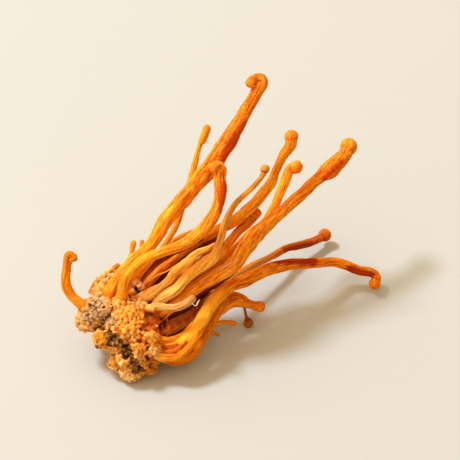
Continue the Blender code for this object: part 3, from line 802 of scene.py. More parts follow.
def finish_skin(tree, colour, grain, roughness, shine, glow):
    """Gives the shader what dried flesh and crust share: colour, uneven gloss, a little glow."""
    shader = tree.nodes["Principled BSDF"]
    tree.links.new(colour, shader.inputs["Base Color"])
    gloss = {"Value": grain, "To Min": roughness - ROUGHNESS_SPREAD, "To Max": roughness + ROUGHNESS_SPREAD}
    tree.links.new(add(tree, RANGE, gloss), shader.inputs["Roughness"])
    shader.inputs["Specular IOR Level"].default_value = shine
    shader.inputs["Subsurface Weight"].default_value = glow
    shader.inputs["Subsurface Radius"].default_value = GLOW_COLOURS
    shader.inputs["Subsurface Scale"].default_value = GLOW_DEPTH
    return shader


print("light spreads in flesh by, mm:", GLOW_DEPTH / MM)

# %% Flesh material
SKIN_PATTERNS = {  # how quick round the stem, length along it in millimetres, detail
    "streaks": (1.6, 9.0, 4.0),
    "fine": (3.4, 3.6, 3.0),
    "cross": (1.8, 0.45, 2.0),
}
BLOTCH = 5.0 * MM
BLOTCH_RANGE = (0.45, 0.7)
BLOTCH_MOST = 0.5
GRAIN = 0.28 * MM
FINE_PALE = (0.6, 0.1)  # how strong fine pale streaks are in flesh that isn't ripe, and in ripe
HALF_RIPE = 0.5  # they start to weaken here
WORN_SHARE = 0.5  # how strong worn ridges are, beside fine pale streaks
ROOT_RAGGED = 1.2  # how far streaks tear up the edge of the root's colour
FLESH_ROUGHNESS = 0.6
FLESH_SHINE = 0.06
FLESH_GLOW = 0.18
BUMP_HEIGHT = 0.1 * MM
BUMP_STRENGTH = 0.8
CROSS_BUMP = 0.6
# Painted shade, darkening the folds.
FOLD_SHADE = "A83400"


def flesh_material(name, body, deep, pale, root, tip):
    """Dried flesh, from its colours as hex digits."""
    material = bpy.data.materials.new(name)
    material.use_nodes = True
    tree = material.node_tree
    skin = add(tree, ATTRIBUTE, {}, out="Vector", attribute_name="skin")
    cavity, tipness, rootness, ripe_and_shade, rough = (
        add(tree, ATTRIBUTE, {}, out="Fac", attribute_name=zone)
        for zone in ("cavity", "tip", "root", "ripe_and_shade", "rough")
    )
    place = add(tree, "ShaderNodeTexCoord", {}, out="Object")

    patterns = {}
    for pattern, (around, length, detail) in SKIN_PATTERNS.items():
        spot = add(tree, VECTOR, [skin, (around, around, 1 / length)], operation="MULTIPLY")
        waves = {"Vector": spot, "Scale": 1.0, "Detail": detail, "Roughness": 0.6}
        patterns[pattern] = add(tree, NOISE, waves)
    streaks, fine, cross = patterns.values()
    blotches = add(tree, NOISE, {"Vector": place, "Scale": 1 / BLOTCH, "Detail": 3.0})
    grain = add(tree, NOISE, {"Vector": place, "Scale": 1 / GRAIN, "Detail": 3.0, "Roughness": 0.7})

    low, high = BLOTCH_RANGE
    blotches = {"Value": blotches, "From Min": low, "From Max": high, "To Max": BLOTCH_MOST}
    blotches = add(tree, RANGE, blotches)
    # The ripeness attribute also holds painted shade, so shaded spots turn redder too.
    red = add(tree, MATH, [blotches, ripe_and_shade], operation="ADD", use_clamp=True)
    fading = {"Value": ripe_and_shade, "From Min": HALF_RIPE, "To Min": FINE_PALE[0], "To Max": FINE_PALE[1]}
    fine_pale = add(tree, RANGE, fading)
    worn_pale = add(tree, MATH, [fine_pale, WORN_SHARE], operation="MULTIPLY")
    ragged = add(tree, MATH, [streaks, NOISE_MIDDLE], operation="SUBTRACT")
    ragged = add(tree, MATH, [ragged, ROOT_RAGGED, rootness], operation="MULTIPLY_ADD")
    pocks = add(tree, MATH, [grain, rough], operation="MULTIPLY")
    glazes = (
        (streaks, 0.47, 0.72, 0.75, pale),  # broad pale streaks
        (red, 0.0, 1.0, 1.0, deep),  # ripe flesh, blotches and painted shade
        (fine, 0.5, 0.66, fine_pale, pale),  # fine pale streaks
        (fine, 0.5, 0.36, 0.5, deep),  # and dark ones between them
        (cross, 0.5, 0.35, 0.35, deep),  # short dashes across
        (ragged, 0.15, 0.85, 0.85, root),  # the root's end
        (tipness, 0.0, 1.0, 0.7, tip),  # the tip's end
        (pocks, 0.42, 0.62, 0.6, deep),  # dots on a club
        (cavity, -0.004, -0.03, worn_pale, pale),  # ridges that are worn
        (cavity, 0.004, 0.05, 0.75, FOLD_SHADE),  # painted shade in folds
    )
    colour = lay_glazes(tree, linear(body), glazes)
    shader = finish_skin(tree, colour, grain, FLESH_ROUGHNESS, FLESH_SHINE, FLESH_GLOW)
    relief = add(tree, MATH, [fine, 1.0, grain], operation="MULTIPLY_ADD")
    relief = add(tree, MATH, [cross, CROSS_BUMP, relief], operation="MULTIPLY_ADD")
    bump = {"Height": relief, "Distance": BUMP_HEIGHT, "Strength": BUMP_STRENGTH}
    tree.links.new(add(tree, "ShaderNodeBump", bump), shader.inputs["Normal"])
    return material


print("patterns on the skin:", ", ".join(SKIN_PATTERNS))

# %% Kinds of flesh
FLESH_COLOURS = {  # body, deep, pale, root, tip
    "orange_stem": ("FC9E10", "D04800", "FFC044", "FCA424", "EC7C10"),
    "red_orange_stem": ("F88A08", "A82800", "FFAE24", "FFB838", "E4640A"),
    "pale_stem": ("FDAC30", "C4701C", "FFCA64", "F8C26C", "D08840"),
    "cream_stem": ("D89E54", "AC601E", "E8BC80", "D4963E", "A85814"),
    "brown_orange_stem": ("E08208", "A84200", "F4A22C", "EAAC44", "B04E06"),
    # Flesh painted dark as shade, for the strands that fill shaded gaps.
    "dark_flesh": ("883000", "481000", "B05410", "984408", "883000"),
    "tan_flesh": ("C85C10", "A04008", "DC8836", "E8A850", "FF9418"),
    "brown_flesh": ("A8640C", "5C2E04", "C88430", "B4701C", "A05808"),
    "white_flesh": ("F0D8B8", "D8B080", "FBEAD2", "F0D8B8", "E8C898"),
}
OWN_FLESH = {  # where a stem's colour isn't that of its slot
    "low_right_stem": "tan_flesh",
    "hanging_knob": "brown_flesh",
    "under_stem": "red_orange_stem",
    "side_twig": "red_orange_stem",
}
FLESH = {slot: flesh_material(slot + " flesh", *look) for slot, look in FLESH_COLOURS.items()}
print(len(FLESH), "kinds of flesh")

# %% [markdown]
# ## The stems
# Each stem names its kind of flesh, its ripeness (a shift to red), how lumpy and furrowed it is,
# and how its tip ends: in a ball on a neck, or in a rounded club, with a dimple in the middle.
# The club's length is counted back from the tip in millimetres, and carries pimples. Three roots
# are torn and have hollows, which are pressed in. Shade is painted on as extra ripeness: spots
# where a stem lies in shade, and the hollows, are painted redder. Those spots and the hollows were
# read from the photograph.

# %% How each stem looks
# Name: flesh, how far the root's colour reaches (millimetres), ripe at the root and at the tip,
# lobes, furrows, furrows around, ball, dimple, club.
STEM_LOOKS = {
    "tall_stem": ("orange_stem", 5.0, 0.05, 0.5, 0.45, 0.1, 0.75, False, 0.5, 34.0),
    "thin_back_stem": ("orange_stem", 6.0, 0.3, 0.0, 0.4, 0.10, 0.65, False, 0.0, 6.0),
    "crooked_stem": ("orange_stem", 5.0, 0.0, 0.45, 0.48, 0.10, 0.75, False, 0.3, 12.0),
    "pale_wavy_stem": ("pale_stem", 16.0, 0.0, 0.6, 0.48, 0.13, 0.75, True, 0.25, 0.0),
    "middle_club_stem": ("orange_stem", 6.0, 0.5, 0.1, 0.4, 0.10, 0.75, True, 0.15, 14.0),
    "knobbed_stem": ("orange_stem", 6.0, 0.4, 0.1, 0.4, 0.09, 0.7, True, 0.3, 3.0),
    "right_club_stem": ("orange_stem", 10.0, 0.1, 0.35, 0.48, 0.10, 0.75, True, 0.4, 14.0),
    "low_right_stem": ("red_orange_stem", 52.0, 0.0, 0.4, 0.48, 0.10, 0.7, True, 0.25, 3.0),
    # Its root's pale colour reaches far: partly its own colour, partly painted light where other stems shade
    # it.
    "long_low_stem": ("red_orange_stem", 30.0, 0.0, 0.15, 0.48, 0.09, 0.7, True, 0.4, 4.0),
    "under_stem": ("brown_orange_stem", 6.0, 0.1, 0.2, 0.48, 0.12, 0.75, True, 0.2, 6.0),
    "low_back_stem": ("brown_orange_stem", 4.0, 0.4, 0.1, 0.4, 0.09, 0.7, False, 0.2, 0.0),
    "pale_inner_stem": ("pale_stem", 14.0, 0.0, 0.1, 0.48, 0.13, 0.75, False, 0.1, 0.0),
    "short_club_stem": ("red_orange_stem", 4.0, 0.4, 0.2, 0.4, 0.10, 0.7, False, 0.1, 6.0),
    "cream_stub": ("cream_stem", 11.0, 0.0, 0.3, 0.48, 0.14, 0.75, False, 0.1, 0.0),
    "left_curled_stem": ("red_orange_stem", 7.0, 0.0, 0.4, 0.4, 0.09, 0.7, False, 0.2, 4.0),
    "left_sprout": ("brown_orange_stem", 4.0, 0.1, 0.1, 0.64, 0.16, 0.7, False, 0.1, 10.0),
    "club_sprout": ("orange_stem", 3.0, 0.1, 0.0, 0.4, 0.09, 0.65, False, 0.1, 4.0),
    "thin_sprout": ("orange_stem", 3.0, 0.1, 0.3, 0.4, 0.09, 0.65, False, 0.1, 3.0),
    "hanging_knob": ("brown_orange_stem", 1.0, 0.1, 0.2, 0.4, 0.09, 0.65, True, 0.1, 2.0),
    "side_twig": ("brown_orange_stem", 1.0, 0.2, 0.2, 0.4, 0.09, 0.65, False, 0.0, 0.0),
}
# Hollows in torn roots: the pixel, the radius and the depth, in millimetres. Each is also painted redder, as
# shade in the hollow.
HOLLOWS = {
    "long_low_stem": (
        (162, 349, 1.2, 0.7), (165, 349, 1.3, 0.7), (168, 348, 1.2, 0.7), (171, 347, 1.0, 0.6),
        (174, 346, 0.9, 0.5), (177, 345, 0.8, 0.5),
    ),
    "low_right_stem": ((166, 328, 1.2, 0.8), (164, 334, 1.0, 0.6)),
    "right_club_stem": ((163, 318, 1.0, 0.8),),
}
# Painted shade: where a stem lies in shade it is painted redder. Pixels and radii in millimetres.
SHADE_SPOT_STRENGTH = 0.85  # how much painted shade a spot adds to the ripeness of its middle
SHADE_SPOTS = {
    "long_low_stem": (
        *((x, 261, 1.6) for x in range(277, 314, 4)),
        *((x, 270 + (x - 350) / 4, 1.5) for x in range(350, 374, 4)),
        (161, 349, 2.2), (165, 350, 2.2), (169, 349, 2.0), (173, 348, 1.8), (177, 347, 1.6),
        (182, 347, 1.4), (186, 344, 1.2), (176, 354, 1.2), (184, 352, 1.2),
    ),
    "low_right_stem": (
        (170, 325, 2.4), (178, 321, 2.4), (186, 317, 2.4), (194, 312, 2.4), (200, 306, 2.4),
        *((x, 249 - (x - 286) / 5, 1.2) for x in range(286, 314, 4)),
    ),
    "tall_stem": [(226 + step * 3.2, 157 - step * 5.4, 1.6) for step in range(7)],
    "crooked_stem": [(224.5 - (y - 186) / 10, y, 1.2) for y in range(186, 214, 4)],
    "right_club_stem": [(325 + step * 4, 178 - step * 4, 1.0) for step in range(5)],
}
print(len(SHADE_SPOTS), "stems have red spots")

# %% Stems
TIP_LENGTH = 2.6  # millimetres over which the tip's colour fades in
ROOT_EDGE = (0.4, 1.2)  # between which the root's colour ends, as shares of its reach
RIPE_EDGE = (0.15, 0.75)  # between which a stem changes from its root's ripeness to its tip's
SEED_STEP = 11.0  # from one stem's marks to the next one's
FEWEST_SIDES = 16


def sides_for(route):
    """How many sides a ring needs, so that they are as long as a step at the thickest point."""
    return max(int(2 * math.pi * max(point[3] for point in route) * MM / STEP), FEWEST_SIDES)


def colour_zones(stem, root_reach, ripe_root, ripe_tip, painted_shade=0.0):
    """Stores how far each point belongs to the root's and the tip's colour, and its ripeness with painted
    shade added.
    """
    along = np.empty(len(stem.data.vertices), np.float32)
    stem.data.attributes["along"].data.foreach_get("value", along)
    total = along.max()
    root = 1 - fade(along, ROOT_EDGE[0] * root_reach, ROOT_EDGE[1] * root_reach)
    ripe_and_shade = ripe_root + (ripe_tip - ripe_root) * fade(along / total, *RIPE_EDGE)
    store(stem, "root", root * (1 - painted_shade))
    store(stem, "tip", fade(along, total - TIP_LENGTH, total))
    store(stem, "ripe_and_shade", ripe_and_shade + painted_shade)


triangles = 0
for seed, (name, route) in enumerate(ROUTES.items(), start=1):
    slot, reach, ripe_root, ripe_tip, lobes, furrows, around, *tip = STEM_LOOKS[name]
    inputs = {
        "Sides": sides_for(route),
        "Lobe depth": lobes,
        "Furrow depth": furrows,
        "Furrows around": around,
        "Seed": seed * SEED_STEP,
        "Skin": FLESH[OWN_FLESH.get(name, slot)],
    }
    stem = grown(name + "_flesh", spine(name, route, *tip, seed), [(flesh, inputs)])
    # Painted shade: spots that lie in shade, and the torn roots' hollows, are painted redder.
    painted_shade = SHADE_SPOT_STRENGTH * near_pixels(stem, SHADE_SPOTS.get(name, ()))
    painted_shade = np.maximum(painted_shade, press(stem, HOLLOWS.get(name, ())))
    lay_down(stem)
    colour_zones(stem, reach, ripe_root, ripe_tip, painted_shade)
    attach(stem, slot, name)
    triangles += triangles_of(stem.data)
print(triangles, "triangles in the stems")

# %% [markdown]
# ## Strands between the stems
# The photograph shows more flesh between the stems than their tubes fill: thin strands painted
# dark as shade, which fill gaps that lie in shade and end against the stems above them, the two
# ridges that the long low stem's torn root runs out in, a webbed strand and a nub at the under
# stem, small bulbs beside two heads, and a few pale threads and flakes of skin. Each is a short
# stem of its own, grown by the same tree.

# %% Strands
# Name: flesh, material slot, the root colour's reach, route.
STRANDS = {
    "pale_thread": ("pale_stem", "pale_stem", 5.0, (
        (4.0, 23.8, 17.0, 0.12), (5.6, 25.0, 17.9, 0.14), (7.5, 26.2, 19.4, 0.17), (10.0, 27.4, 21.4, 0.16),
        (12.8, 29.3, 23.8, 0.12),
    )),
    "white_fibre": ("white_flesh", "cream_stem", 0.5, (
        (22.9, 27.2, 22.4, 0.06), (24.4, 28.5, 23.6, 0.08), (26.4, 29.7, 24.3, 0.08),
        (28.2, 31.1, 24.4, 0.06),
    )),
    "low_nub": ("brown_orange_stem", "brown_orange_stem", 0.5, (
        (19.0, 12.7, 5.0, 0.45), (20.8, 12.0, 3.8, 0.4), (22.6, 11.2, 2.9, 0.3),
    )),
    "arm_web": ("red_orange_stem", "brown_orange_stem", 0.5, (
        (23.2, 16.6, 7.1, 0.5), (25.2, 18.5, 7.7, 0.8), (27.4, 19.3, 8.0, 1.0), (29.3, 19.0, 7.8, 0.9),
        (30.6, 18.8, 7.6, 0.7),
    )),
    "stub_flake": ("white_flesh", "cream_stem", 0.5, (
        (16.1, 19.4, 19.2, 0.06), (16.8, 18.7, 19.4, 0.07), (17.3, 18.9, 19.7, 0.11),
        (17.5, 19.5, 19.9, 0.15), (18.0, 20.2, 20.2, 0.08),
    )),
    "low_flake": ("white_flesh", "cream_stem", 0.5, (
        (20.4, 21.9, 15.0, 0.08), (21.1, 22.35, 15.4, 0.15), (21.9, 22.7, 15.7, 0.1),
        (22.4, 22.6, 15.3, 0.08),
    )),
    "upper_root_ridge": ("red_orange_stem", "red_orange_stem", 3.0, (
        (5.2, 10.7, 9.0, 1.0), (7.2, 10.6, 9.6, 0.95), (9.0, 10.2, 9.7, 0.85), (10.8, 10.1, 9.7, 0.85),
        (12.4, 10.5, 9.9, 0.95), (14.4, 11.7, 10.4, 0.9), (16.5, 14.2, 11.9, 0.7),
    )),
    # The lower ridge takes a darker flesh, as painted shade on the root's lower side.
    "lower_root_ridge": ("brown_orange_stem", "red_orange_stem", 5.0, (
        (5.4, 7.3, 7.3, 1.1), (7.4, 6.2, 7.0, 1.05), (9.8, 5.6, 7.0, 1.05), (12.6, 5.9, 7.7, 1.0),
        (15.0, 7.9, 9.0, 0.95), (17.2, 10.9, 10.7, 0.9), (19.0, 14.4, 12.1, 0.8), (20.2, 17.4, 13.0, 0.6),
    )),
    "first_inner_strand": ("dark_flesh", "brown_orange_stem", 4.0, (
        (2.4, 20.0, 10.5, 1.4), (5.0, 23.2, 12.5, 1.5), (9.0, 27.0, 15.0, 1.5), (14.0, 30.6, 18.0, 1.3),
        (19.0, 33.2, 20.3, 1.1), (23.0, 35.4, 22.0, 0.8),
    )),
    "second_inner_strand": ("dark_flesh", "brown_orange_stem", 4.0, (
        (4.6, 18.6, 11.0, 1.4), (8.0, 21.4, 13.0, 1.5), (12.5, 24.9, 15.5, 1.5), (17.0, 28.6, 18.0, 1.3),
        (21.0, 31.8, 20.4, 1.0), (23.6, 33.8, 21.8, 0.7),
    )),
    "third_inner_strand": ("dark_flesh", "brown_orange_stem", 4.0, (
        (5.2, 15.6, 9.0, 1.4), (9.0, 17.8, 9.8, 1.5), (13.5, 20.4, 11.2, 1.6), (18.0, 22.6, 12.8, 1.7),
        (22.5, 25.0, 14.2, 1.5), (26.5, 27.6, 15.2, 1.0),
    )),
    "fourth_inner_strand": ("dark_flesh", "brown_orange_stem", 4.0, (
        (5.6, 13.0, 7.2, 1.5), (9.5, 14.6, 7.6, 1.7), (13.5, 16.8, 8.4, 1.8), (17.5, 19.8, 9.6, 1.8),
        (21.0, 22.6, 11.0, 1.5), (24.5, 25.0, 12.6, 1.0),
    )),
    "fifth_inner_strand": ("dark_flesh", "brown_orange_stem", 4.0, (
        (3.0, 21.5, 12.0, 1.3), (4.6, 24.4, 14.0, 1.4), (7.0, 28.0, 16.5, 1.5), (10.0, 31.0, 19.0, 1.4),
        (14.0, 33.6, 22.0, 1.2), (18.0, 35.4, 24.5, 0.9),
    )),
    "sixth_inner_strand": ("dark_flesh", "brown_orange_stem", 4.0, (
        (6.0, 11.5, 6.0, 1.4), (9.0, 12.2, 6.5, 1.5), (12.0, 13.0, 7.2, 1.5), (15.0, 14.7, 8.2, 1.4),
        (18.0, 17.5, 9.5, 1.0),
    )),
    "crooked_side_bulb": ("orange_stem", "orange_stem", 0.5, (
        (23.0, 52.0, 43.8, 0.9), (23.4, 52.4, 44.1, 0.85), (23.7, 52.6, 44.3, 0.8),
    )),
    "curled_side_bulb": ("brown_orange_stem", "red_orange_stem", 0.5, (
        (-14.2, 30.0, 24.4, 0.6), (-13.4, 30.3, 24.9, 0.55), (-13.1, 30.4, 25.1, 0.6),
    )),
    "pale_upper_strand": ("pale_stem", "pale_stem", 8.0, (
        (4.6, 18.4, 13.0, 1.0), (8.0, 21.0, 15.6, 1.0), (11.5, 24.6, 18.0, 1.0), (15.5, 28.0, 20.6, 1.05),
        (19.5, 30.4, 23.2, 0.9), (23.0, 32.6, 25.6, 0.7),
    )),
}
STRAND_LOOK = {"Lobe depth": 0.5, "Furrow depth": 0.12, "Furrows around": 0.75}
STRAND_RIPE = 0.2
for seed, (name, (kind, slot, reach, route)) in enumerate(STRANDS.items(), start=len(ROUTES) + 1):
    inputs = {"Sides": sides_for(route), "Seed": seed * SEED_STEP, "Skin": FLESH[kind]}
    mesh = spine(name, route, knob=False, dimple=0.0, club=0.0, seed=seed)
    strand = grown(name, mesh, [(flesh, STRAND_LOOK | inputs)])
    colour_zones(strand, reach, STRAND_RIPE, STRAND_RIPE)
    attach(strand, slot)
print(len(STRANDS), "strands")

# %% [markdown]
# ## The clump
# The clump is a heap of mycelium that dried round the grain it grew on. It could be sculpted;
# here it is grown: a heap of lumps, with a smooth collar at each stem's root, is melted into one
# skin. Pits are pressed into it where the photograph shows them. Granules are scattered on what
# is not smooth, and all of it is melted again, finely enough to keep the gaps between granules.

# %% Lumps and collars
# Across, up, height and radius, in millimetres.
LUMPS = (
    (0.0, 12.3, 9.5, 6.7), (-8.2, 17.2, 13.0, 3.9), (-10.2, 15.0, 12.0, 2.7), (-6.0, 18.5, 14.5, 3.6),
    (-6.9, 21.6, 15.6, 2.1), (-6.2, 10.5, 9.5, 2.5), (-3.8, 10.5, 9.0, 3.0), (-2.7, 4.6, 4.0, 1.9),
    (0.8, 2.8, 2.7, 3.1), (1.5, 5.6, 4.8, 4.6), (4.8, 4.6, 4.2, 2.9), (5.4, 11.2, 11.3, 2.6),
    (2.2, 7.8, 9.3, 2.5), (-0.5, 5.2, 6.4, 2.2), (6.2, 7.8, 8.3, 2.2), (-0.2, 15.6, 13.0, 4.5),
    (2.5, 17.4, 13.8, 3.4), (5.2, 14.2, 10.6, 4.1), (1.2, 21.0, 14.8, 2.2), (2.3, 23.0, 15.8, 1.7),
    (-3.0, 15.6, 8.0, 5.6), (2.0, 11.7, 4.5, 5.1), (-7.0, 15.8, 9.6, 4.2), (1.6, 8.2, 4.4, 5.2),
    (3.4, 16.9, 14.4, 1.7), (-8.3, 22.3, 15.0, 1.3), (-8.0, 23.9, 15.9, 1.0), (-7.1, 25.2, 16.6, 0.9),
    (-6.0, 26.1, 17.1, 0.8), (-4.9, 26.9, 17.5, 0.75), (-3.8, 27.8, 17.9, 0.7), (-6.6, 23.0, 16.4, 1.3),
    (-5.8, 24.6, 17.0, 0.9), (-4.2, 26.0, 17.7, 0.7), (1.6, 24.2, 17.2, 0.5), (2.4, 24.6, 17.4, 0.45),
    (3.3, 24.3, 17.3, 0.5), (3.9, 23.7, 17.1, 0.45), (2.0, 23.5, 17.2, 0.5), (2.9, 23.6, 17.3, 0.55),
)
# Bare flesh that joins the clump and the stems on the right.
BARE_LUMPS = (
    (5.5, 10.8, 9.4, 1.4), (7.2, 17.0, 12.2, 2.0), (7.6, 14.6, 10.2, 2.0), (6.4, 8.4, 8.0, 1.7),
    (8.6, 12.8, 8.4, 1.8), (9.6, 17.2, 11.4, 1.4), (7.6, 19.4, 13.0, 1.2), (5.4, 18.0, 16.0, 1.1),
    (6.4, 18.8, 16.0, 0.7), (6.7, 17.6, 15.9, 0.8), (7.9, 17.4, 15.7, 0.6), (9.4, 15.0, 10.6, 0.8),
    (9.9, 13.4, 9.6, 0.7), (9.2, 12.3, 9.4, 0.8),
)
LUMP_ROUNDS = 3
COLLAR_LENGTH = 6.0  # how far a collar follows its stem from the route's start
COLLAR_PROUD = 0.65  # how much thicker than its stem a collar starts, millimetres
COLLAR_END = -0.05  # and ends, which leaves the stem bare
CRUSTED_COLLAR = 2.0  # granules creep this far up a collar, millimetres
COLLAR_STEP = 0.4
# These grow from another stem, or leave the clump without a collar.
NO_COLLAR = (
    "hanging_knob", "side_twig", "cream_stub", "long_low_stem", "thin_back_stem", "middle_club_stem",
)

lump_balls = [(to_world(*lump[:3]), lump[3] * MM) for lump in LUMPS]
smooth_balls = [(to_world(*lump[:3]), lump[3] * MM) for lump in BARE_LUMPS]
for name, route in ROUTES.items():
    if name in NO_COLLAR:
        continue
    path, along = smooth_route(route)
    for distance in np.arange(0.0, COLLAR_LENGTH, COLLAR_STEP) * MM:
        x, y, z, radius = (np.interp(distance, along, path[:, k]) for k in range(4))
        share = distance / (COLLAR_LENGTH * MM)
        radius += (COLLAR_PROUD * (1 - share) + COLLAR_END * share) * MM
        balls = smooth_balls if distance > CRUSTED_COLLAR * MM else lump_balls
        balls.append((Vector((x, y, z)), radius))


def heap_of(name, balls):
    """One mesh that holds a ball at each place, with its radius."""
    one = bmesh.new()
    bmesh.ops.create_icosphere(one, subdivisions=LUMP_ROUNDS, radius=1.0)
    mesh = bpy.data.meshes.new(name)
    one.to_mesh(mesh)
    one.free()
    points = points_of(mesh)
    faces = np.array([face.vertices[:] for face in mesh.polygons])
    every_point = np.vstack([points * radius + np.array(place) for place, radius in balls])
    every_face = np.vstack([faces + i * len(points) for i in range(len(balls))])
    mesh.clear_geometry()
    mesh.from_pydata(every_point.tolist(), [], every_face.tolist())
    return mesh


COARSE_VOXEL = 0.35 * MM
heap = grown("heap", heap_of("heap", lump_balls + smooth_balls), [("REMESH", COARSE_VOXEL)])
print(len(LUMPS), "lumps,", len(ROUTES) - len(NO_COLLAR), "collars")

# %% [markdown]
# ## Pits, and what is smooth
# A pit is placed by the pixel of the photograph that shows its middle. The line of sight through
# that pixel finds the spot on the heap, and the skin round it is pressed in along the same line.
# The skin near a collar is bare flesh, so it stays free of granules, and so do a few lumps.

# %% Pits and bare flesh
# The pixel, the radius and the depth, in millimetres.
PITS = (
    (163, 321, 0.8, 1.6), (160, 326, 0.7, 1.0), (166, 318, 0.7, 1.2), (139, 293, 1.2, 1.5),
    (135, 291, 0.7, 1.0), (110, 332, 0.7, 0.8), (113, 338, 1.1, 1.3), (110, 344, 0.9, 0.9),
    (120, 342, 0.7, 0.8), (125, 346, 0.9, 1.1), (129, 352, 1.2, 1.4), (126, 357, 0.8, 0.9),
    (134, 363, 0.8, 0.9), (139, 367, 1.1, 1.3), (135, 372, 0.8, 0.9), (100, 328, 0.8, 0.8),
    (88, 314, 0.6, 0.8), (96, 302, 0.6, 0.7), (92, 324, 0.5, 0.6), (140, 331, 0.8, 0.8),
    (147, 331, 0.7, 0.6), (152, 313, 0.6, 0.7), (90, 306, 0.5, 0.5), (151, 366, 1.0, 0.9),
    (146, 343, 0.7, 0.7), (155, 332, 0.6, 0.6), (104, 308, 0.5, 0.6),
)
# The pixel and the radius, in millimetres.
SMOOTH_LUMPS = (
    (148, 312, 1.4), (152, 319, 1.8), (147, 328, 1.3), (101, 337, 1.3),
    (160, 308, 2.6), (163, 318, 2.4), (161, 327, 2.0), (155, 316, 1.4),
)
SMOOTH_SHARE = 0.75  # how much of a smooth lump's radius is bare
BARE_EDGE = (0.0, 0.45)  # how far from bare flesh granules start to grow, in millimetres
CALM_EDGE = (0.15, 0.7)  # and how far from it the crust gets its full roughness
FAR_AWAY = 1.0  # metres


def near_balls(places, balls, edge):
    """1 at places inside the balls or nearer than the edge's start, 0 past its end."""
    nearest = np.full(len(places), FAR_AWAY)
    for middle, radius in balls:
        gap = np.linalg.norm(places - np.array(middle), axis=1) - radius
        nearest = np.minimum(nearest, gap)
    return 1 - fade(nearest, edge[0] * MM, edge[1] * MM)


press(heap, PITS)
heap_surface = surface_of(heap)
for x, y, radius in SMOOTH_LUMPS:
    spot, _ = touched(heap_surface, x, y)
    if spot is not None:
        smooth_balls.append((spot, SMOOTH_SHARE * radius * MM))
store(heap, "bare", near_balls(points_of(heap.data), smooth_balls, BARE_EDGE))
print(len(PITS), "pits")

# %% [markdown]
# ## Granules
# Under a lens the crust is granules a third of a millimetre to one and a half across. Scattering
# points with a least distance keeps them apart, as real granules are that grew side by side.
# Each becomes a small turned and squashed ball, sunk into the skin. A slow noise makes zones
# of large and fine ones, crumbly crust gets only fine ones, and bare flesh gets none.

# %% Where granules grow
GRANULE_INPUTS = (
    ("Spacing", "NodeSocketFloat", 0.85 * MM),
    ("Smallest", "NodeSocketFloat", 0.32 * MM),
    ("Largest", "NodeSocketFloat", 0.78 * MM),
    ("Zone", "NodeSocketFloat", 4.0 * MM),
    ("Spread", "NodeSocketFloat", 0.45),
    ("Seed", "NodeSocketInt", 4),
)
POINTS_PER_AREA = 6e6  # on a square metre, before those too close are left out
BARE_LIMIT = 0.5  # granules grow where the skin is less bare than this

granules, given = new_tree("granules on a skin", GRANULE_INPUTS)
here = add(granules, "GeometryNodeInputPosition", {})
bare = add(granules, READ, {"Name": "bare"}, data_type="FLOAT")
crusty = add(granules, "FunctionNodeCompare", [bare, BARE_LIMIT], operation="LESS_THAN")
scatter = {
    "Mesh": given["Geometry"],
    "Selection": crusty,
    "Distance Min": given["Spacing"],
    "Density Max": POINTS_PER_AREA,
    "Seed": given["Seed"],
}
kind = "GeometryNodeDistributePointsOnFaces"
points = add(granules, kind, scatter, out="Points", distribute_method="POISSON")
print("scattering:", len(granules.nodes), "nodes")

# %% Sizes and shapes of the granules
SUNK = -0.2  # where a ball's middle lies along the skin's normal, in its radii
SQUASH = (0.7, 0.75, 0.6), (1.25, 1.3, 1.1)  # the least and the most, along a ball's axes
BALL_ROUNDS = 2
ZONE_RANGE = (0.35, 0.65)  # the noise at which granules are smallest and largest
RANDOM = "FunctionNodeRandomValue"

inverse = add(granules, MATH, [1.0, given["Zone"]], operation="DIVIDE")
zone = add(granules, NOISE, {"Vector": here, "Scale": inverse, "Detail": 2.0})
zone = add(granules, RANGE, {"Value": zone, "From Min": ZONE_RANGE[0], "From Max": ZONE_RANGE[1]})
crumbly = add(granules, READ, {"Name": "crumbly"}, data_type="FLOAT")
zone = add(granules, MATH, [zone, crumbly], operation="SUBTRACT")
spread = add(granules, MATH, [given["Spread"], -1.0], operation="MULTIPLY")
chance = add(granules, RANDOM, {"Min": spread, "Max": given["Spread"], "Seed": given["Seed"]})
zone = add(granules, MATH, [zone, chance], operation="ADD", use_clamp=True)
size = {"Value": zone, "To Min": given["Smallest"], "To Max": given["Largest"]}
size = add(granules, RANGE, size)
squash = {"Min": SQUASH[0], "Max": SQUASH[1], "Seed": given["Seed"]}
squash = add(granules, RANDOM, squash, data_type="FLOAT_VECTOR")
shape = add(granules, VECTOR, {0: squash, "Scale": size}, operation="SCALE")
tumble = {"Max": (2 * math.pi,) * 3, "Seed": given["Seed"]}
tumble = add(granules, RANDOM, tumble, data_type="FLOAT_VECTOR")
ball = add(granules, "GeometryNodeMeshIcoSphere", {"Radius": 1.0, "Subdivisions": BALL_ROUNDS})
balls = {"Points": points, "Instance": ball, "Scale": shape, "Rotation": tumble}
balls = add(granules, "GeometryNodeInstanceOnPoints", balls)
sunk = add(granules, MATH, [size, SUNK], operation="MULTIPLY")
sunk = add(granules, VECTOR, {0: points.node.outputs["Normal"], "Scale": sunk}, operation="SCALE")
sinking = {0: balls, "Translation": sunk, "Local Space": False}
balls = add(granules, "GeometryNodeTranslateInstances", sinking)
balls = add(granules, "GeometryNodeRealizeInstances", [balls])
joined = granules.nodes.new("GeometryNodeJoinGeometry")
granules.links.new(given["Geometry"], joined.inputs[0])
granules.links.new(balls, joined.inputs[0])
add(granules, "NodeGroupOutput", [joined.outputs[0]])
print("granule tree:", len(granules.nodes), "nodes")

# %% [markdown]
# ## Weathering
# The melted skin is still too smooth. Two noises push its points in and out along their normals:
# one as wide as a granule, one as fine as the mesh can hold. Bare flesh moves less. The cavity is
# stored afterwards at two scales, and the crust's material reads them to paint shade into pits and
# into the gaps between lumps.

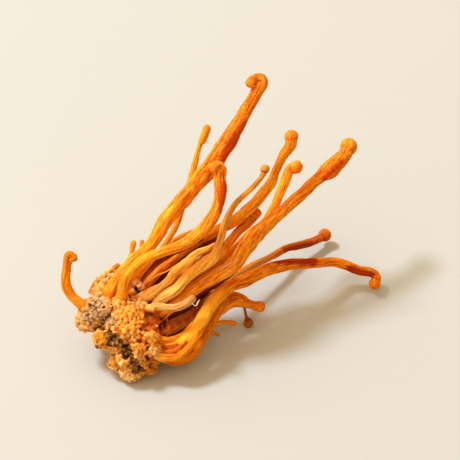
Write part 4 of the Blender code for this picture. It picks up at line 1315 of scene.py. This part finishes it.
# %% Weather tree
WEATHER_INPUTS = (
    ("Coarse height", "NodeSocketFloat", 0.35 * MM),
    ("Fine height", "NodeSocketFloat", 0.28 * MM),
    ("Bare share", "NodeSocketFloat", 0.3),
    ("Skin", "NodeSocketMaterial", None),
)
COARSE_SIZE = 1.5 * MM
FINE_SIZE = 0.45 * MM
VALLEY_ROUNDS = 60  # many rounds find the gaps between lumps, few find those between granules

weather, given = new_tree("weathered crust", WEATHER_INPUTS)
coarse = add(weather, NOISE, {"Scale": 1 / COARSE_SIZE, "Detail": 1.0})
coarse = add(weather, MATH, [coarse, NOISE_MIDDLE], operation="SUBTRACT")
coarse = add(weather, MATH, [coarse, given["Coarse height"]], operation="MULTIPLY")
fine = add(weather, NOISE, {"Scale": 1 / FINE_SIZE, "Detail": 2.0})
fine = add(weather, MATH, [fine, NOISE_MIDDLE], operation="SUBTRACT")
height = add(weather, MATH, [fine, given["Fine height"], coarse], operation="MULTIPLY_ADD")
bare = add(weather, READ, {"Name": "bare"}, data_type="FLOAT")
calm = add(weather, RANGE, {"Value": bare, "To Min": 1.0, "To Max": given["Bare share"]})
height = add(weather, MATH, [height, calm], operation="MULTIPLY")
normal = add(weather, "GeometryNodeInputNormal", {})
lift = add(weather, VECTOR, {0: normal, "Scale": height}, operation="SCALE")
crust = add(weather, "GeometryNodeSetPosition", {0: given["Geometry"], "Offset": lift})
crust = add(weather, "GeometryNodeSetShadeSmooth", [crust])
crust = store_cavity(weather, crust, "valley", VALLEY_ROUNDS)
crust = store_cavity(weather, crust, "cavity", CAVITY_ROUNDS)
crust = add(weather, "GeometryNodeRealizeInstances", [crust])
crust = add(weather, "GeometryNodeSetMaterial", {0: crust, "Material": given["Skin"]})
add(weather, "NodeGroupOutput", [crust])
print("weather tree:", len(weather.nodes), "nodes")

# %% [markdown]
# ## The crust's colours
# The clump is not one colour. Granules of live orange flesh, tan and cream crust, grey dry
# mycelium and black specks of the grain it grew on lie side by side. Each of those is a colour
# pair, one for what stands proud and a darker one that paints shade into pits. Soft patches,
# placed as attributes, say where each lies, and a noise breaks up their edges. Some patches are
# partly or wholly painted shade: the hole, the web, the olive and the brown ones. A cell pattern
# of a granule's size makes each granule its own tone.

# %% Crust colours
CRUST_COLOURS = {  # patch: what stands proud, painted shade in pits, how hard the patch's edge is broken up
    "orange": ("FDB048", "CC5406", 0.5),
    "cream": ("FAD298", "C88C40", 0.8),
    "grey": ("DCAC78", "6C4824", 0.6),
    # Brown, and painted shade on the clump's lower right and in grooves.
    "brown_and_shade": ("CC7A1E", "7E3406", 0.8),
    "bare": ("F4921E", "BE4E06", 0.25),
    # Dark orange flesh, partly painted shade in the recess by the pit.
    "web_and_shade": ("C45C0C", "7C3404", 0.4),
    # Painted shade, deep in the hole.
    "hole_shade": ("64220A", "240A02", 0.3),
    "pale_root": ("F8BC6C", "D08434", 0.3),
    "ochre": ("E09424", "9C560A", 0.5),
    # Olive brown, partly painted shade beside lumps and in grooves.
    "olive_and_shade": ("AC7230", "4C2A0A", 0.8),
    # Dark brown, laid over most of the pits.
    "dark_at_pits": ("7A4E1A", "2C1604", 0.75),
}
CRUST_TAN = ("F2B462", "B0661C")  # where there is no patch; the second colour is painted shade in pits
CRUST_BREAK = 1.3 * MM  # how wide the noise is that breaks up a patch's edge
CRUST_GRAIN = 0.3 * MM
CRUST_CELL = 0.9 * MM  # a granule, which has its own shade
CRUST_ROUGHNESS = 0.75
CRUST_SHINE = 0.15
CRUST_GLOW = 0.06
CRUST_BUMP = 0.12 * MM
CRUST_BUMP_STRENGTH = 0.9
PIT_SHADE_RANGE = (-0.04, 0.1)  # cavities in millimetres that show the painted pit shade not at all, fully
CELL_SHARE = 0.4  # how much a granule's own shade and the grain shift that
GRAIN_SHARE = 0.8
PATCH_RANGE = (0.3, 0.75)  # where a patch starts to show, and where it covers all
BREAK_STRENGTH = 3.0
SPECK_SIZE = 0.5 * MM
MORE_ON_GREY = 0.08
FEWER_ON_BARE = 0.2
SPECK_DARK = "3A2208"
# Painted shade, in the gaps between lumps.
VALLEY_SHADE = "3C1A04"

print(len(CRUST_COLOURS), "patches of colour")

# %% Crust material


def crust_material():
    """Dried mycelium crust, coloured by the patches stored on its mesh, with shade painted into its pits."""
    material = bpy.data.materials.new("dried mycelium crust")
    material.use_nodes = True
    tree = material.node_tree
    place = add(tree, "ShaderNodeTexCoord", {}, out="Object")
    broken = {"Vector": place, "Scale": 1 / CRUST_BREAK, "Detail": 4.0, "Roughness": 0.65}
    broken = add(tree, NOISE, broken)
    grain = {"Vector": place, "Scale": 1 / CRUST_GRAIN, "Detail": 3.0, "Roughness": 0.7}
    grain = add(tree, NOISE, grain)
    cells = add(tree, CELLS, {"Vector": place, "Scale": 1 / CRUST_CELL}, out="Color")
    cells = add(tree, "ShaderNodeSeparateColor", [cells])
    cavity, valley, grey, bare = (
        add(tree, ATTRIBUTE, {}, out="Fac", attribute_name=zone)
        for zone in ("cavity", "valley", "grey", "bare")
    )
    # How deep a point lies in a pit, which paints shade there.
    low, high = PIT_SHADE_RANGE
    deep = add(tree, RANGE, {"Value": cavity, "From Min": low, "From Max": high})
    for pattern, strength in ((cells, CELL_SHARE), (grain, GRAIN_SHARE)):
        wobble = add(tree, MATH, [pattern, NOISE_MIDDLE], operation="SUBTRACT")
        wobble = [wobble, strength, deep]
        deep = add(tree, MATH, wobble, operation="MULTIPLY_ADD", use_clamp=pattern is grain)

    proud, pit = CRUST_TAN
    colour = {"Factor": deep, "A": linear(proud), "B": linear(pit)}
    colour = add(tree, MIX, colour, data_type="RGBA")
    away = add(tree, MATH, [broken, NOISE_MIDDLE], operation="SUBTRACT")
    low, high = PATCH_RANGE
    for patch, (proud, pit, breakup) in CRUST_COLOURS.items():
        share = add(tree, ATTRIBUTE, {}, out="Fac", attribute_name=patch)
        share = [away, BREAK_STRENGTH * breakup, share]
        share = add(tree, MATH, share, operation="MULTIPLY_ADD")
        share = add(tree, RANGE, {"Value": share, "From Min": low, "From Max": high})
        own = {"Factor": deep, "A": linear(proud), "B": linear(pit)}
        own = add(tree, MIX, own, data_type="RGBA")
        colour = add(tree, MIX, {"Factor": share, "A": colour, "B": own}, data_type="RGBA")

    specks = add(tree, NOISE, {"Vector": place, "Scale": 1 / SPECK_SIZE, "Detail": 2.0})
    for zone, more in ((grey, MORE_ON_GREY), (bare, -FEWER_ON_BARE)):
        specks = add(tree, MATH, [zone, more, specks], operation="MULTIPLY_ADD")
    glazes = (
        (specks, 0.62, 0.72, 0.7, SPECK_DARK),  # black specks
        (valley, 0.12, 0.5, 0.85, VALLEY_SHADE),  # painted shade in gaps between lumps
    )
    colour = lay_glazes(tree, colour, glazes)
    shader = finish_skin(tree, colour, grain, CRUST_ROUGHNESS, CRUST_SHINE, CRUST_GLOW)
    bump = {"Height": grain, "Distance": CRUST_BUMP, "Strength": CRUST_BUMP_STRENGTH}
    tree.links.new(add(tree, "ShaderNodeBump", bump), shader.inputs["Normal"])
    return material


crust_skin = crust_material()
print("crust:", len(crust_skin.node_tree.nodes), "nodes")

# %% [markdown]
# ## Growing the clump
# The pressed heap gets two layers of granules, large ones and crumbs between them, is melted
# finely and weathered, in that order. Then the patches of colour are laid on it. A patch is a ball
# of influence round the spot that a pixel of the photograph shows, so it wraps round its lump.

# %% Patches of colour
# Patch: the pixels of its spots, and their radii in millimetres.
PATCHES = {
    "orange": (
        (128, 312, 4.4), (137, 322, 3.8), (120, 328, 2.2), (146, 318, 3.2), (137, 346, 2.6), (150, 340, 3.0),
        (128, 364, 1.6), (160, 336, 3.2), (118, 296, 2.6), (166, 322, 3.4), (150, 372, 2.2), (143, 350, 1.8),
        (113, 290, 2.2), (143, 291, 1.2), (131, 289, 1.1),
    ),
    "ochre": (
        (101, 338, 2.4), (104, 344, 1.8), (117, 364, 1.8), (84, 323, 0.8),
    ),
    # Brown, and painted shade on the clump's lower right and in grooves.
    "brown_and_shade": (
        (150, 362, 2.4), (156, 368, 2.0), (147, 372, 1.6), (160, 360, 1.5), (128, 340, 1.3), (121, 350, 1.2),
        (140, 335, 0.9), (131, 294, 1.2), (142, 298, 1.0), (118, 332, 1.2), (142, 352, 1.0), (110, 326, 0.9),
    ),
    "grey": (
        (97, 312, 4.0), (86, 318, 2.6), (107, 318, 2.4), (90, 303, 2.6), (100, 300, 2.4), (112, 322, 1.6),
    ),
    # Dark orange flesh, partly painted shade in the recess by the pit.
    "web_and_shade": (
        (148, 313, 1.2), (152, 317, 1.6), (158, 311, 1.6), (157, 320, 1.6), (150, 325, 1.5), (145, 328, 1.4),
        (141, 330, 1.2), (160, 330, 1.4), (164, 325, 1.6), (165, 317, 1.4), (156, 329, 1.3), (164, 336, 1.0),
        (140, 340, 1.0), (148, 329, 1.2),
    ),
    # Painted shade, deep in the hole.
    "hole_shade": (
        (161, 319, 0.6), (164, 321, 1.0), (164, 325, 0.9), (160, 328, 0.8), (161, 324, 0.7), (164, 336, 0.5),
    ),
    "pale_root": (
        (143, 298, 1.8), (150, 300, 1.8), (150, 306, 1.5), (155, 305, 1.4), (158, 307, 1.0),
    ),
    # Olive brown, partly painted shade beside lumps and in grooves.
    "olive_and_shade": (
        (111, 336, 2.0), (117, 343, 1.8), (123, 345, 2.0), (128, 352, 2.2), (134, 364, 2.0), (138, 369, 1.8),
        (103, 328, 1.2), (116, 336, 1.4), (90, 306, 1.1), (98, 347, 1.2),
    ),
    "cream": (
        (120, 364, 0.8), (136, 283, 0.9), (141, 284, 0.9), (106, 290, 1.6), (124, 376, 1.6), (118, 304, 0.6),
        (129, 379, 1.2), (151, 347, 0.6), (148, 352, 0.5), (84, 327, 1.0),
    ),
    # Dark brown, laid over most of the pits.
    "dark_at_pits": (
        (110, 332, 1.0), (113, 338, 1.4), (110, 344, 1.2), (116, 345, 0.8), (121, 341, 0.9), (125, 346, 1.2),
        (129, 352, 1.5), (126, 357, 1.1), (132, 358, 0.8), (134, 363, 1.0), (139, 367, 1.4), (135, 372, 1.0),
        (100, 348, 0.6), (96, 330, 0.7), (139, 293, 1.2), (136, 288, 0.8), (163, 320, 0.9), (103, 329, 0.7),
    ),
}
print(sum(len(spots) for spots in PATCHES.values()), "spots in the patches")

# %% Clump
FINE_VOXEL = 0.215 * MM
# Two layers of granules, as the tree's inputs.
LARGE_ONES = {"Spacing": 1.1 * MM, "Smallest": 0.36 * MM, "Largest": 0.78 * MM, "Seed": 4}
CRUMBS = {"Spacing": 0.6 * MM, "Smallest": 0.16 * MM, "Largest": 0.3 * MM, "Zone": 2.5 * MM, "Seed": 9}


def lay_patches(thing, patches):
    """Stores each patch as an attribute that is 1 in its middle and 0 at its edge and beyond."""
    for patch, spots in patches.items():
        store(thing, patch, near_pixels(thing, spots))


lay_patches(heap, {"crumbly": PATCHES["grey"]})
crust = grown("crust", heap.data, [(granules, LARGE_ONES), (granules, CRUMBS), ("REMESH", FINE_VOXEL)])
print(triangles_of(crust.data), "triangles in the melted crust")
store(crust, "bare", near_balls(points_of(crust.data), smooth_balls, CALM_EDGE))
clump = grown("clump_crust", crust.data, [(weather, {"Skin": crust_skin})])
for scaffold in (heap, crust):
    bpy.data.objects.remove(scaffold)
lay_down(clump)
lay_patches(clump, PATCHES)
attach(clump, "clump_crust", "clump")
print(triangles_of(clump.data), "triangles in the clump")
